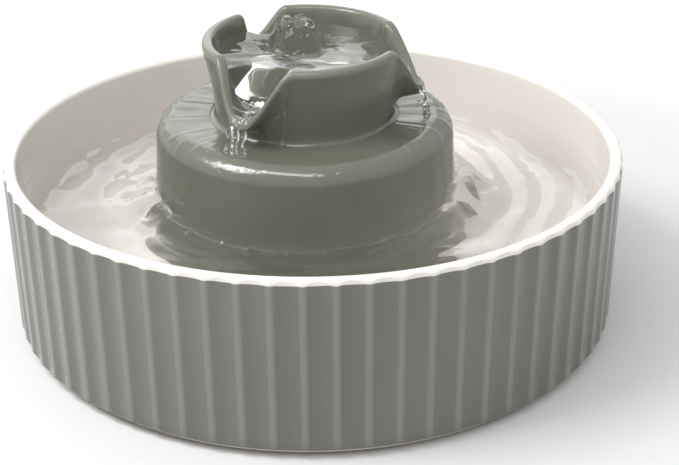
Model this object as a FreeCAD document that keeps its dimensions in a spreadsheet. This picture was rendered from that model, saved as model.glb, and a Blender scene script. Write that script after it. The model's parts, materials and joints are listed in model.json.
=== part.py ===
import FreeCAD, Part
import math
import os
import re

import Sketcher
from FreeCAD import Placement, Rotation, Vector

# A round ceramic pet water fountain: a fluted open basin, and a two-tier tower that stands in it
# over a small submersible pump. Millimetres, +Z up. The origin is on the surface that the foot
# pads stand on, below the centre of the basin. The front is -Y.

doc = FreeCAD.newDocument("pet_fountain")
dims = doc.addObject("Spreadsheet::Sheet", "Dims")
places = doc.addObject("Spreadsheet::Sheet", "Places")

DRIVING = [
    ("rimRadius", 125.0, "radius to the ridges of the basin at its rim"),
    ("wallLean", 1.6, "how much smaller that radius is at the foot"),
    ("rimHeight", 73.5, "height of the rim above the table"),
    ("basinWall", 5.5, "basin wall, from a ridge to the inside"),
    ("floorThick", 6.0, "basin floor"),
    ("padProud", 1.0, "how far the foot pads stand below the foot ring"),
    ("padRadius", 4.0, "radius of a foot pad"),
    ("padCount", 4, "number of foot pads"),
    ("footRecess", 2.0, "hollow below the floor, inside the foot ring"),
    ("footWidth", 10.0, "width of the foot ring"),
    ("footChamfer", 3.5, "chamfer round the outside of the foot"),
    ("innerCorner", 9.0, "round between the basin's wall and floor"),
    ("rimRound", 2.2, "rounds of the rim"),
    ("fluteCount", 68, "concave flutes round the basin"),
    ("fluteDepth", 1.0, "depth of a flute below its ridges"),
    ("flutePhase", -38.1, "azimuth of one ridge from the front, degrees"),
    ("towerX", -3.3, "tower axis, to the right of the basin's"),
    ("towerY", -0.5, "tower axis, behind the basin's"),
    ("drumFootRadius", 63.8, "outside of the lower tier at its foot"),
    ("drumTopRadius", 59.2, "outside of the lower tier at its top"),
    ("plateauHeight", 86.0, "top of the lower tier"),
    ("drumRound", 7.8, "round of the lower tier's top edge"),
    ("drumWall", 5.0, "wall of the lower tier"),
    ("drumCeiling", 6.0, "thickness of the lower tier's top"),
    ("cavityRound", 5.0, "round inside the lower tier's top"),
    ("notchCount", 4, "water notches in the lower tier's foot, one of them for a lead"),
    ("notchWidth", 11.0, "width of a notch"),
    ("notchRise", 9.0, "height of a notch"),
    ("cupBaseRadius", 35.8, "outside of the upper tier at its foot"),
    ("cupRimRadius", 40.3, "outside of the upper tier below its rim"),
    ("cupDepth", 28.4, "mean depth of the upper tier, from its rim to its floor"),
    ("crestTilt", 0.9, "how much higher the rim is at the back than the mean"),
    ("cupWall", 4.8, "thickness of the upper tier's rim"),
    ("cupStep", 4.0, "floor of the upper tier above the lower tier's top"),
    ("cupFloorRadius", 26.0, "radius of that floor"),
    ("lipCount", 3, "pouring lips"),
    ("lipAzimuth", -31.0, "azimuth of the front left lip, degrees"),
    ("lipHalfWidth", 27.0, "half the width of a lip, degrees"),
    ("lipReach", 46.8, "outer radius of a lip's tip"),
    ("lipRise", 8.4, "height of a lip's tip above the upper tier's floor"),
    ("backLipHalfWidth", 17.0, "half the width of the back left lip, degrees"),
    ("backLipRise", 14.0, "height of the back left lip's tip above the floor"),
    ("spoutHole", 10.0, "radius of the hole in the upper tier's floor"),
    ("bushFlange", 13.0, "radius of the spout bush's flanges"),
    ("bushFlangeThick", 1.2, "thickness of those flanges"),
    ("riserRadius", 8.0, "outside of the riser tube"),
    ("riserWall", 1.9, "wall of the riser tube"),
    ("riserShort", 2.0, "how far below the upper tier's floor the riser tube ends"),
    ("slipFit", 0.05, "radial clearance of fits"),
    ("suctionHeight", 6.0, "height of the suction cups under the pump"),
    ("suctionRadius", 6.5, "radius of a suction cup"),
    ("suctionInset", 9.0, "suction cup axis from the housing's sides"),
    ("studRadius", 2.0, "stud of a suction cup"),
    ("studLength", 2.0, "length of that stud"),
    ("pumpWidth", 42.0, "pump housing, left to right"),
    ("pumpFront", 8.0, "pump housing, from the outlet axis to the front"),
    ("pumpBack", 44.0, "pump housing, from the outlet axis to the back"),
    ("pumpHeight", 40.0, "pump housing, bottom to top"),
    ("pumpWall", 2.5, "pump housing wall"),
    ("pumpRound", 4.0, "rounds of the pump housing's upright edges"),
    ("axisRise", 14.0, "rotor axis above the housing's bottom"),
    ("chamberRadius", 11.5, "impeller chamber"),
    ("chamberBack", 8.0, "back of the impeller chamber, behind the outlet axis"),
    ("boreRadius", 7.0, "rotor bore"),
    ("boreBack", 30.0, "end of the rotor bore, behind the outlet axis"),
    ("boreWall", 1.2, "wall of the tube round the rotor bore"),
    ("spigotWall", 1.7, "wall of the outlet spigot"),
    ("spigotHeight", 11.0, "outlet spigot above the housing"),
    ("coverThick", 3.0, "thickness of the volute cover"),
    ("coverEye", 6.5, "radius of the suction eye in the volute cover"),
    ("hubRadius", 3.8, "radius of the boss in the suction eye"),
    ("hubLength", 5.2, "length of that boss"),
    ("spokeWidth", 1.6, "width of a spoke in the suction eye"),
    ("sealRadius", 0.9, "cord radius of the cover seal"),
    ("shaftRadius", 1.0, "ceramic shaft"),
    ("bushRadius", 2.6, "outside of the shaft's rubber bushes"),
    ("bushLength", 2.6, "length of those bushes"),
    ("rotorGap", 0.6, "gap between magnet and bore"),
    ("magnetLength", 18.5, "length of the magnet"),
    ("rotorTube", 2.6, "radius of the impeller's tube, inside the magnet"),
    ("impellerRadius", 9.8, "radius of the impeller"),
    ("impellerPlate", 1.5, "thickness of its back plate"),
    ("bladeLength", 6.5, "axial length of its blades"),
    ("bladeThick", 1.0, "thickness of a blade"),
    ("bladeCount", 6, "number of blades"),
    ("coreStack", 14.0, "thickness of the stack of laminations"),
    ("coreLimb", 6.0, "width of a limb of the core"),
    ("coreHalf", 15.0, "half the width of the core"),
    ("coilHalf", 6.0, "half the length of the bobbin"),
    ("bobbinWall", 1.0, "wall of the bobbin"),
    ("windingThick", 1.3, "thickness of the winding"),
    ("boardThick", 1.6, "thickness of the driver board"),
    ("boardInset", 4.5, "gap between the driver board and the housing's side walls"),
    ("glandRadius", 4.0, "outside of the cable gland"),
    ("glandBore", 1.9, "hole for the lead in the cable gland"),
    ("glandLength", 9.0, "length of the cable gland behind the resin"),
    ("glandShank", 3.0, "length of the gland in the resin"),
    ("cageDepth", 22.0, "depth of the filter cage in front of the pump"),
    ("cageHeight", 34.0, "height of the filter cage"),
    ("cageWall", 1.8, "wall of the filter cage"),
    ("cageGap", 0.3, "gap between filter cage and pump"),
    ("slotCount", 5, "slots in the front of the filter cage"),
    ("slotWidth", 3.0, "width of a slot"),
    ("slotPitch", 6.0, "pitch of the slots"),
    ("slotHeight", 15.0, "height of the slots"),
    ("carbonThick", 6.0, "thickness of the carbon pad"),
    ("spongeThick", 11.0, "thickness of the sponge"),
    ("padGap", 0.3, "gap round the sponge and carbon pad"),
    ("gateThick", 1.4, "thickness of the flow gate"),
    ("gateWidth", 26.0, "width of the flow gate"),
    ("gateHeight", 10.0, "height of the flow gate"),
    ("railWidth", 1.6, "width of a rail that guides the gate"),
    ("railLip", 1.2, "how far a rail's lip covers the gate"),
    ("runGap", 0.1, "running gap round the flow gate"),
]

DERIVED = [
    ("footRadius", "rimRadius - wallLean"),
    ("floorTop", "padProud + footRecess + floorThick"),
    ("padCircle", "footRadius - footChamfer - fluteDepth - footWidth / 2"),
    ("cavityTop", "plateauHeight - drumCeiling"),
    ("cupFloor", "plateauHeight + cupStep"),
    ("cupCrest", "cupFloor + cupDepth"),
    ("cupUnderside", "cupFloor - drumCeiling"),
    ("riserTop", "cupFloor - riserShort"),
    ("boardHalf", "pumpWidth / 2 - pumpWall - boardInset"),
    ("housingBottom", "floorTop + suctionHeight"),
    ("housingTop", "housingBottom + pumpHeight"),
    ("axisHeight", "housingBottom + axisRise"),
    ("frontFace", "towerY - pumpFront"),
    ("backFace", "towerY + pumpBack"),
    ("spigotRadius", "riserRadius - riserWall - slipFit"),
    ("bushBore", "riserRadius + slipFit"),
    ("cavityFront", "towerY + chamberBack + pumpWall"),
    ("coreFront", "cavityFront + bobbinWall + windingThick + 2 * slipFit"),
    ("coreTop", "housingTop - pumpWall - bobbinWall - windingThick - 2 * slipFit"),
    ("coreHole", "boreRadius + boreWall + slipFit"),
    ("boardFront", "towerY + boreBack + bushLength + 2 * boreWall + slipFit"),
    ("resinBack", "backFace - 1"),
    ("cageBack", "frontFace - cageGap"),
    ("cageFront", "cageBack - cageDepth"),
    ("cageTop", "housingBottom + cageHeight"),
    ("slotBottom", "housingBottom + cageWall + 2"),
    ("gateBottom", "cageTop - cageWall - railWidth - gateHeight"),
]


def fill_sheet(target, rows, formula):
    for row, entry in enumerate(rows, start=1):
        target.set("A%d" % row, entry[2] if len(entry) > 2 else "worked out")
        target.set("B%d" % row, formula(entry[1]))
        target.setAlias("B%d" % row, entry[0])


OWNER = {name: "Dims." for name, _, _ in DRIVING}
OWNER.update({name: "Places." for name, _ in DERIVED})


def link(text):
    """An expression in the sheets' names, with each name given its sheet."""
    return re.sub(r"[A-Za-z]\w*", lambda word: OWNER.get(word.group(0), "") + word.group(0), text)


fill_sheet(dims, DRIVING, str)
doc.recompute()
for cell, (cell_name, cell_formula) in enumerate(DERIVED, start=1):
    own = re.sub(
        r"[A-Za-z]\w*",
        lambda word: word.group(0) if OWNER[word.group(0)] == "Places." else "Dims." + word.group(0),
        cell_formula,
    )
    places.set("A%d" % cell, "worked out")
    places.set("B%d" % cell, "=" + own)
    places.setAlias("B%d" % cell, cell_name)
    doc.recompute()


def val(name):
    """The value of a size or place, for shapes that are worked out in code."""
    sheet = dims if OWNER[name] == "Dims." else places
    return float(sheet.get(name))


ALONG_Y = Rotation(Vector(1, 0, 0), -90)
UPRIGHT = Rotation()
parts = []


def keep(obj, node):
    """Give a finished sub-part its node name."""
    obj.Label = node
    parts.append(obj)
    return obj


def set_place(obj, place, turn=UPRIGHT):
    obj.Placement = Placement(Vector(), turn)
    for axis, text in zip("xyz", place):
        obj.setExpression("Placement.Base." + axis, link(text))


def primitive(kind, name, sizes, place, turn=UPRIGHT):
    obj = doc.addObject("Part::" + kind, name)
    for prop, text in sizes.items():
        obj.setExpression(prop, link(text))
    set_place(obj, place, turn)
    return obj


def box(name, size, place):
    sizes = dict(zip(("Length", "Width", "Height"), size))
    return primitive("Box", name, sizes, place)


def rod(name, radius, length, place, turn=ALONG_Y):
    return primitive("Cylinder", name, {"Radius": radius, "Height": length}, place, turn)


def cut(name, base, tools):
    obj = doc.addObject("Part::Cut", name)
    obj.Base = base
    obj.Tool = tools[0] if len(tools) == 1 else join(name + "_tools", tools)
    return obj


def join(name, shapes):
    obj = doc.addObject("Part::MultiFuse", name)
    obj.Shapes = shapes
    return obj


def turned(name, outline, place, turn=UPRIGHT):
    """A body turned from an outline of (radius, height) expressions about its own Z axis."""
    body = doc.addObject("PartDesign::Body", name)
    sketch = body.newObject("Sketcher::SketchObject", name + "_outline")
    plane = [face for face in body.Origin.OriginFeatures if face.Role == "XZ_Plane"][0]
    sketch.AttachmentSupport = [(plane, "")]
    sketch.MapMode = "FlatFace"
    count = len(outline)
    doc.recompute()
    guess = [(probe_value(r), probe_value(h)) for r, h in outline]
    for i in range(count):
        start = Vector(guess[i][0], guess[i][1], 0)
        end = Vector(guess[(i + 1) % count][0], guess[(i + 1) % count][1], 0)
        sketch.addGeometry(Part.LineSegment(start, end), False)
    for i in range(count):
        sketch.addConstraint(Sketcher.Constraint("Coincident", i, 2, (i + 1) % count, 1))
    for i, (radius, height) in enumerate(outline):
        for kind, text, axis in (("DistanceX", radius, -2), ("DistanceY", height, -1)):
            if text == "0":
                sketch.addConstraint(Sketcher.Constraint("PointOnObject", i, 1, axis))
            else:
                start_value = guess[i][0] if kind == "DistanceX" else guess[i][1]
                mark = sketch.addConstraint(Sketcher.Constraint(kind, -1, 1, i, 1, start_value))
                sketch.setExpression("Constraints[%d]" % mark, link(text))
    turn_feature = body.newObject("PartDesign::Revolution", name + "_turn")
    turn_feature.Profile = sketch
    turn_feature.ReferenceAxis = (sketch, ["V_Axis"])
    turn_feature.Angle = 360.0
    body.Tip = turn_feature
    set_place(body, place, turn)
    return body


probe = doc.addObject("App::FeaturePython", "Probe")
probe.addProperty("App::PropertyFloat", "Result")


def probe_value(text):
    """The present value of an expression, as a first guess for a sketch."""
    probe.setExpression("Result", link("(%s) * 1" % text))
    probe.recompute()
    return float(probe.Result)


def circle_point(radius, azimuth, height):
    """A point by its azimuth in degrees from the front, positive to the right."""
    angle = math.radians(azimuth)
    return Vector(radius * math.sin(angle), -radius * math.cos(angle), height)


def free_form(node, shape):
    obj = doc.addObject("Part::Feature", node)
    obj.Shape = shape
    return keep(obj, node)


def path_face(edges):
    return Part.Face(Part.Wire(edges))


def round_corner(before, corner, after, radius):
    """The arc that rounds a corner, with its two ends and its middle."""
    first = (before - corner).normalize()
    second = (after - corner).normalize()
    half = first.getAngle(second) / 2
    reach = radius / math.tan(half)
    start = corner + first * reach
    end = corner + second * reach
    centre = corner + (first + second).normalize() * (radius / math.sin(half))
    middle = centre + (corner - centre).normalize() * radius
    return start, middle, end


def outline_face(points, rounds):
    """A face in the XZ plane from corner points, some of them rounded."""
    edges = []
    count = len(points)
    last = None
    first = None
    for i, corner in enumerate(points):
        if i in rounds:
            start, middle, end = round_corner(points[i - 1], corner, points[(i + 1) % count], rounds[i])
        else:
            start, middle, end = corner, None, corner
        if last is not None and last.distanceToPoint(start) > 1e-6:
            edges.append(Part.LineSegment(last, start).toShape())
        if middle is not None:
            edges.append(Part.Arc(start, middle, end).toShape())
        first = start if first is None else first
        last = end
    if last.distanceToPoint(first) > 1e-6:
        edges.append(Part.LineSegment(last, first).toShape())
    return path_face(edges)


def about(face, place_x=0.0, place_y=0.0):
    solid = face.revolve(Vector(), Vector(0, 0, 1), 360)
    return solid.translated(Vector(place_x, place_y, 0))


def flute_ring(radius, height):
    """A closed wire of concave arcs, one for each flute."""
    count = int(val("fluteCount"))
    pitch = 360.0 / count
    edges = []
    for k in range(count):
        here = val("flutePhase") + k * pitch
        ridge = circle_point(radius, here, height)
        valley = circle_point(radius - val("fluteDepth"), here + pitch / 2, height)
        next_ridge = circle_point(radius, here + pitch, height)
        edges.append(Part.Arc(ridge, valley, next_ridge).toShape())
    return Part.Wire(edges)


def make_basin():
    foot = val("padProud")
    rim = val("rimHeight")
    outside = val("rimRadius") + val("wallLean")
    inside = val("rimRadius") - val("basinWall")
    inside_foot = val("footRadius") - val("basinWall")
    ring_outer = val("footRadius") - val("footChamfer") - val("fluteDepth")
    ring_inner = ring_outer - val("footWidth")
    recess_top = foot + val("footRecess")
    chamfer_top = foot + val("footChamfer") + (outside - val("footRadius") + val("fluteDepth"))
    fluted = Part.makeLoft([flute_ring(val("footRadius"), foot), flute_ring(val("rimRadius"), rim)], True, True)
    section = [
        Vector(0, 0, recess_top),
        Vector(ring_inner, 0, recess_top),
        Vector(ring_inner, 0, foot),
        Vector(ring_outer, 0, foot),
        Vector(outside, 0, chamfer_top),
        Vector(outside, 0, rim - val("rimRound") - val("wallLean") - val("fluteDepth")),
        Vector(val("rimRadius"), 0, rim - val("rimRound")),
        Vector(val("rimRadius"), 0, rim),
        Vector(inside, 0, rim),
        Vector(inside_foot, 0, val("floorTop")),
        Vector(0, 0, val("floorTop")),
    ]
    rounds = {7: val("rimRound") * 0.98, 8: val("rimRound"), 9: val("innerCorner")}
    return free_form("basin", fluted.common(about(outline_face(section, rounds))))


def lip_at(azimuth):
    """Weight of the pouring lip at an azimuth, one at its tip and zero between lips, and its tip's rise."""
    count = int(val("lipCount"))
    for k in range(count):
        back = k == count - 1
        half_width = val("backLipHalfWidth") if back else val("lipHalfWidth")
        tip = val("lipAzimuth") + k * 360.0 / count
        away = abs((azimuth - tip + 180.0) % 360.0 - 180.0) / half_width
        if away < 1.0:
            return 0.5 + 0.5 * math.cos(math.pi * away), val("backLipRise") if back else val("lipRise")
    return 0.0, val("lipRise")


def cup_sections(azimuth):
    """Radius and height from the upper tier's foot, over the rim, down to its floor."""
    lip, rise = lip_at(azimuth)
    base = val("plateauHeight")
    floor = val("cupFloor")
    wall = val("cupWall")
    crest = val("cupCrest") - val("crestTilt") * math.cos(math.radians(azimuth))
    crest -= (val("cupDepth") - rise) * lip
    outer = val("cupRimRadius") + (val("lipReach") - val("cupRimRadius")) * lip
    foot = val("cupBaseRadius")
    floor_radius = val("cupFloorRadius")
    return [
        (foot, base - 3.0),
        (foot, base),
        (foot + 0.35 * (outer - foot) * (1 - 0.45 * lip), base + 0.5 * (crest - base)),
        (outer - 0.04 * wall, crest - 0.75 * wall),
        (outer, crest - 0.42 * wall),
        (outer - 0.16 * wall, crest - 0.10 * wall),
        (outer - 0.5 * wall, crest),
        (outer - 0.84 * wall, crest - 0.12 * wall),
        (outer - wall, crest - 0.5 * wall),
        (floor_radius + 0.62 * (outer - wall - floor_radius), floor + 0.42 * (crest - floor)),
        (floor_radius + 0.22 * (outer - wall - floor_radius), floor + 1.2),
        (floor_radius, floor),
    ]


def make_tower():
    place = (val("towerX"), val("towerY"))
    foot = val("floorTop")
    top = val("plateauHeight")
    wall = val("drumWall")
    drum = about(outline_face([
        Vector(0, 0, foot),
        Vector(val("drumFootRadius"), 0, foot),
        Vector(val("drumTopRadius"), 0, top),
        Vector(0, 0, top),
    ], {2: val("drumRound")}), *place)
    steps = 72
    rings = [cup_sections(k * 360.0 / steps) for k in range(steps)]
    wires = []
    for level in range(len(rings[0])):
        points = []
        for k in range(steps):
            radius, height = rings[k][level]
            points.append(circle_point(radius, k * 360.0 / steps, height) + Vector(*place, 0))
        curve = Part.BSplineCurve()
        curve.interpolate(Points=points, PeriodicFlag=True)
        wires.append(Part.Wire([curve.toShape()]))
    cup = Part.makeLoft(wires, True, False)
    tower = drum.fuse(cup)
    hollow = about(outline_face([
        Vector(0, 0, foot - 1),
        Vector(val("drumFootRadius") - wall, 0, foot - 1),
        Vector(val("drumTopRadius") - wall, 0, val("cavityTop")),
        Vector(val("cupFloorRadius"), 0, val("cavityTop")),
        Vector(val("cupFloorRadius"), 0, val("cupUnderside")),
        Vector(0, 0, val("cupUnderside")),
    ], {2: val("cavityRound")}), *place)
    hole = Part.makeCylinder(val("spoutHole"), val("cupFloor"), Vector(*place, foot))
    tower = tower.cut(hollow).cut(hole)
    half = val("notchWidth") / 2
    for k in range(int(val("notchCount"))):
        slot = Part.makeBox(wall * 3, 2 * half, val("notchRise") - half, Vector(0, -half, foot))
        arch = Part.makeCylinder(half, wall * 3, Vector(0, 0, foot + val("notchRise") - half), Vector(1, 0, 0))
        notch = slot.fuse(arch).translated(Vector(val("drumFootRadius") - 2 * wall, 0, 0))
        notch.rotate(Vector(), Vector(0, 0, 1), 90 + k * 360.0 / val("notchCount"))
        tower = tower.cut(notch.translated(Vector(*place, 0)))
    return free_form("tower", tower)


def make_foot_pads():
    pads = []
    count = int(val("padCount"))
    for k in range(count):
        spot = circle_point(val("padCircle"), (k + 0.5) * 360.0 / count, 0)
        pads.append(Part.makeCylinder(val("padRadius"), val("padProud"), spot))
    return free_form("foot_pads", Part.makeCompound(pads))


def make_spout_bush():
    low = "cupUnderside - bushFlangeThick"
    span = "cupFloor - cupUnderside"
    neck = "spoutHole - slipFit"
    outline = [
        ("bushBore", "0"),
        ("bushFlange", "0"),
        ("bushFlange", "bushFlangeThick"),
        (neck, "bushFlangeThick"),
        (neck, "bushFlangeThick + " + span),
        ("bushFlange - 1", "bushFlangeThick + " + span),
        ("bushFlange - 1", "2 * bushFlangeThick + " + span),
        ("bushBore", "2 * bushFlangeThick + " + span),
    ]
    keep(turned("spout_bush", outline, ("towerX", "towerY", low)), "spout_bush")


def make_riser_tube():
    low = "housingTop + slipFit"
    inner = "riserRadius - riserWall"
    height = "riserTop - housingTop - slipFit"
    outline = [(inner, "0"), ("riserRadius", "0"), ("riserRadius", height), (inner, height)]
    keep(turned("riser_tube", outline, ("towerX", "towerY", low)), "riser_tube")


def make_suction_cups():
    """Four hollow cups under the pump, each with a stud that plugs into the housing."""
    radius = val("suctionRadius")
    tall = val("suctionHeight")
    stud = val("studRadius")
    section = outline_face([
        Vector(0, 0, 1.6),
        Vector(radius - 0.8, 0, 0),
        Vector(radius, 0, 0),
        Vector(radius, 0, 0.7),
        Vector(stud + 1.2, 0, 3.0),
        Vector(stud + 1.2, 0, tall),
        Vector(stud, 0, tall),
        Vector(stud, 0, tall + val("studLength")),
        Vector(0, 0, tall + val("studLength")),
    ], {})
    cup = about(section)
    side = val("pumpWidth") / 2 - val("suctionInset")
    front = val("frontFace") + val("suctionInset")
    back = val("backFace") - val("suctionInset")
    spots = [(x, y) for x in (-side, side) for y in (front, back)]
    copies = [cup.translated(Vector(val("towerX") + x, y, val("floorTop"))) for x, y in spots]
    return free_form("suction_cups", Part.makeCompound(copies))


def make_pump_housing():
    """The moulded block, with the rotor bore in a blind tube inside the stator's space."""
    depth = "pumpFront + pumpBack"
    left = "towerX - pumpWidth / 2"
    block = box("block", ("pumpWidth", depth, "pumpHeight"), (left, "frontFace", "housingBottom"))
    doc.recompute()
    rounded = doc.addObject("Part::Fillet", "rounded_block")
    rounded.Base = block
    upright = [
        n for n, edge in enumerate(block.Shape.Edges, start=1)
        if abs(edge.Vertexes[0].Z - edge.Vertexes[1].Z) > 1
    ]
    rounded.Edges = [(n, val("pumpRound"), val("pumpRound")) for n in upright]
    spigot = rod("spigot", "spigotRadius", "spigotHeight + 1", ("towerX", "towerY", "housingTop - 1"), UPRIGHT)
    solid = join("block_and_spigot", [rounded, spigot])
    chamber = rod("chamber", "chamberRadius", "pumpFront + chamberBack + 1",
                  ("towerX", "frontFace - 1", "axisHeight"))
    bore = rod("bore", "boreRadius", "boreBack", ("towerX", "towerY", "axisHeight"))
    seat = rod("bush_seat", "bushRadius + slipFit", "boreBack + bushLength + slipFit",
               ("towerX", "towerY", "axisHeight"))
    outlet = rod("outlet", "spigotRadius - spigotWall", "pumpHeight + spigotHeight",
                 ("towerX", "towerY", "axisHeight"), UPRIGHT)
    space = box("stator_space",
                ("pumpWidth - 2 * pumpWall", "backFace - cavityFront + 1", "pumpHeight - 2 * pumpWall"),
                (left + " + pumpWall", "cavityFront", "housingBottom + pumpWall"))
    tube = rod("rotor_tube", "boreRadius + boreWall", "boreBack + bushLength + 2 * boreWall",
               ("towerX", "towerY", "axisHeight"))
    around = cut("space_round_tube", space, [tube])
    sockets = []
    for k, (x, y) in enumerate(((-1, "frontFace + suctionInset"), (1, "frontFace + suctionInset"),
                                (-1, "backFace - suctionInset"), (1, "backFace - suctionInset"))):
        offset = "towerX + %d * (pumpWidth / 2 - suctionInset)" % x
        sockets.append(rod("socket_%d" % k, "studRadius + slipFit", "studLength + slipFit",
                           (offset, y, "housingBottom"), UPRIGHT))
    keep(cut("pump_housing", solid, [chamber, bore, seat, outlet, around] + sockets), "pump_housing")


def make_volute_cover():
    """The cover of the impeller chamber, whose spokes carry the front end of the shaft."""
    radius = "chamberRadius - slipFit"
    plate = rod("cover_plate", radius, "coverThick", ("towerX", "frontFace", "axisHeight"))
    eye = rod("cover_eye", "coverEye", "coverThick", ("towerX", "frontFace", "axisHeight"))
    groove = primitive("Torus", "seal_groove", {"Radius1": radius, "Radius2": "sealRadius"},
                       ("towerX", "frontFace + coverThick / 2", "axisHeight"), ALONG_Y)
    ring = cut("cover_ring", plate, [eye, groove])
    boss = rod("cover_boss", "hubRadius", "hubLength", ("towerX", "frontFace", "axisHeight"))
    spokes = []
    for k in range(3):
        spoke = doc.addObject("Part::Box", "spoke_%d" % k)
        spoke.setExpression("Length", link("spokeWidth"))
        spoke.setExpression("Width", link("coverThick"))
        spoke.setExpression("Height", link("coverEye + 1"))
        turn = Rotation(Vector(0, 1, 0), 120 * k)
        set_place(spoke, ("towerX", "frontFace", "axisHeight"), turn)
        angle = math.radians(120 * k)
        shift = "towerX - %.6f * spokeWidth / 2" % math.cos(angle)
        rise = "axisHeight + %.6f * spokeWidth / 2" % math.sin(angle)
        spoke.setExpression("Placement.Base.x", link(shift))
        spoke.setExpression("Placement.Base.z", link(rise))
        spokes.append(spoke)
    whole = join("cover_whole", [ring, boss] + spokes)
    seat = rod("front_seat", "bushRadius + slipFit", "bushLength + 1",
               ("towerX", "frontFace + hubLength - bushLength", "axisHeight"))
    keep(cut("volute_cover", whole, [seat]), "volute_cover")


def make_cover_seal():
    """The cord of the seal is as thick as the groove leaves room for inside the chamber."""
    seal = primitive("Torus", "cover_seal",
                     {"Radius1": "chamberRadius - slipFit - sealRadius / 2", "Radius2": "sealRadius / 2 - slipFit"},
                     ("towerX", "frontFace + coverThick / 2", "axisHeight"), ALONG_Y)
    keep(seal, "cover_seal")


def make_shaft_and_bushes():
    front = "frontFace + hubLength - bushLength"
    back = "towerY + boreBack"
    keep(rod("rotor_shaft", "shaftRadius", back + " + bushLength - slipFit - (" + front + " + slipFit)",
             ("towerX", front + " + slipFit", "axisHeight")), "rotor_shaft")
    for node, start in (("front_bush", front), ("rear_bush", back)):
        outline = [("shaftRadius + slipFit", "0"), ("bushRadius", "0"), ("bushRadius", "bushLength"),
                   ("shaftRadius + slipFit", "bushLength")]
        keep(turned(node, outline, ("towerX", start, "axisHeight"), ALONG_Y), node)


def make_rotor():
    """Impeller with its tube, and the magnet on that tube. Both turn on the fixed shaft."""
    back_face = "towerY + chamberBack - 0.6"
    tube_front = "frontFace + hubLength + 0.4"
    tube = rod("impeller_tube", "rotorTube", back_face + " + magnetLength + 0.5 - (" + tube_front + ")",
               ("towerX", tube_front, "axisHeight"))
    plate = rod("impeller_plate", "impellerRadius", "impellerPlate",
                ("towerX", back_face + " - impellerPlate", "axisHeight"))
    blades = []
    for k in range(int(val("bladeCount"))):
        turn = Rotation(Vector(0, 1, 0), k * 360.0 / val("bladeCount"))
        blade = doc.addObject("Part::Box", "blade_%d" % k)
        blade.setExpression("Length", link("bladeThick"))
        blade.setExpression("Width", link("bladeLength"))
        blade.setExpression("Height", link("impellerRadius"))
        set_place(blade, ("towerX", back_face + " - impellerPlate - bladeLength", "axisHeight"), turn)
        blades.append(blade)
    whole = join("impeller_whole", [tube, plate] + blades)
    bore = rod("impeller_bore", "shaftRadius + slipFit", "pumpFront + pumpBack",
               ("towerX", "frontFace", "axisHeight"))
    keep(cut("impeller", whole, [bore]), "impeller")
    inner = "rotorTube + slipFit"
    outer = "boreRadius - rotorGap"
    outline = [(inner, "0"), (outer, "0"), (outer, "magnetLength"), (inner, "magnetLength")]
    keep(turned("rotor_magnet", outline, ("towerX", back_face + " + 0.2", "axisHeight"), ALONG_Y), "rotor_magnet")


def make_stator():
    """A U of laminations astride the rotor tube, its yoke in a wound bobbin above."""
    low = "axisHeight - boreRadius - boreWall"
    yoke_low = "coreTop - coreLimb"
    yoke = box("core_yoke", ("2 * coreHalf", "coreStack", "coreLimb"), ("towerX - coreHalf", "coreFront", yoke_low))
    limbs = []
    for k, x in enumerate(("towerX - coreHalf", "towerX + coreHalf - 1.5 * coreLimb")):
        limbs.append(box("core_limb_%d" % k, ("1.5 * coreLimb", "coreStack", yoke_low + " + 0.5 - (" + low + ")"),
                         (x, "coreFront", low)))
    whole = join("core_whole", [yoke] + limbs)
    around = rod("core_bore", "coreHole", "coreStack + 2", ("towerX", "coreFront - 1", "axisHeight"))
    keep(cut("stator_core", whole, [around]), "stator_core")

    def sleeve(name, half, grow_out, grow_in):
        outer = box(name + "_outer", ("2 * (%s)" % half, "coreStack + 2 * (%s)" % grow_out,
                                      "coreLimb + 2 * (%s)" % grow_out),
                    ("towerX - (%s)" % half, "coreFront - (%s)" % grow_out, yoke_low + " - (%s)" % grow_out))
        inner = box(name + "_inner", ("2 * (%s) + 2" % half, "coreStack + 2 * (%s)" % grow_in,
                                      "coreLimb + 2 * (%s)" % grow_in),
                    ("towerX - (%s) - 1" % half, "coreFront - (%s)" % grow_in, yoke_low + " - (%s)" % grow_in))
        return cut(name, outer, [inner])

    tube_in = "slipFit"
    tube_out = "slipFit + bobbinWall"
    full = "slipFit + bobbinWall + windingThick"
    spool = sleeve("spool", "coilHalf", full, tube_in)
    channel = sleeve("channel", "coilHalf - bobbinWall", full + " + 1", tube_out)
    keep(cut("coil_bobbin", spool, [channel]), "coil_bobbin")
    keep(sleeve("coil_winding", "coilHalf - bobbinWall - slipFit", full, tube_out + " + slipFit"), "coil_winding")


def make_driver_board():
    board = box("driver_board", ("2 * boardHalf", "boardThick", "pumpHeight - 4 * pumpWall"),
                ("towerX - boardHalf", "boardFront", "housingBottom + 2 * pumpWall"))
    keep(board, "driver_board")


def make_resin(inside):
    """The resin that fills the stator's space round everything in it."""
    left = "towerX - pumpWidth / 2 + pumpWall"
    block = box("resin_block", ("pumpWidth - 2 * pumpWall", "resinBack - cavityFront", "pumpHeight - 2 * pumpWall"),
                (left, "cavityFront", "housingBottom + pumpWall"))
    tube = rod("resin_tube", "boreRadius + boreWall", "boreBack + bushLength + 2 * boreWall",
               ("towerX", "towerY", "axisHeight"))
    shank = rod("resin_gland", "glandRadius", "glandShank + 1",
                ("towerX + boardHalf - glandRadius", "resinBack - glandShank", "housingBottom + 3 * pumpWall"))
    copies = []
    for k, piece in enumerate(inside):
        copy = doc.addObject("Part::Compound", "inside_%d" % k)
        copy.Links = [piece]
        copies.append(copy)
    keep(cut("potting_resin", block, [tube, shank] + copies), "potting_resin")


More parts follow.
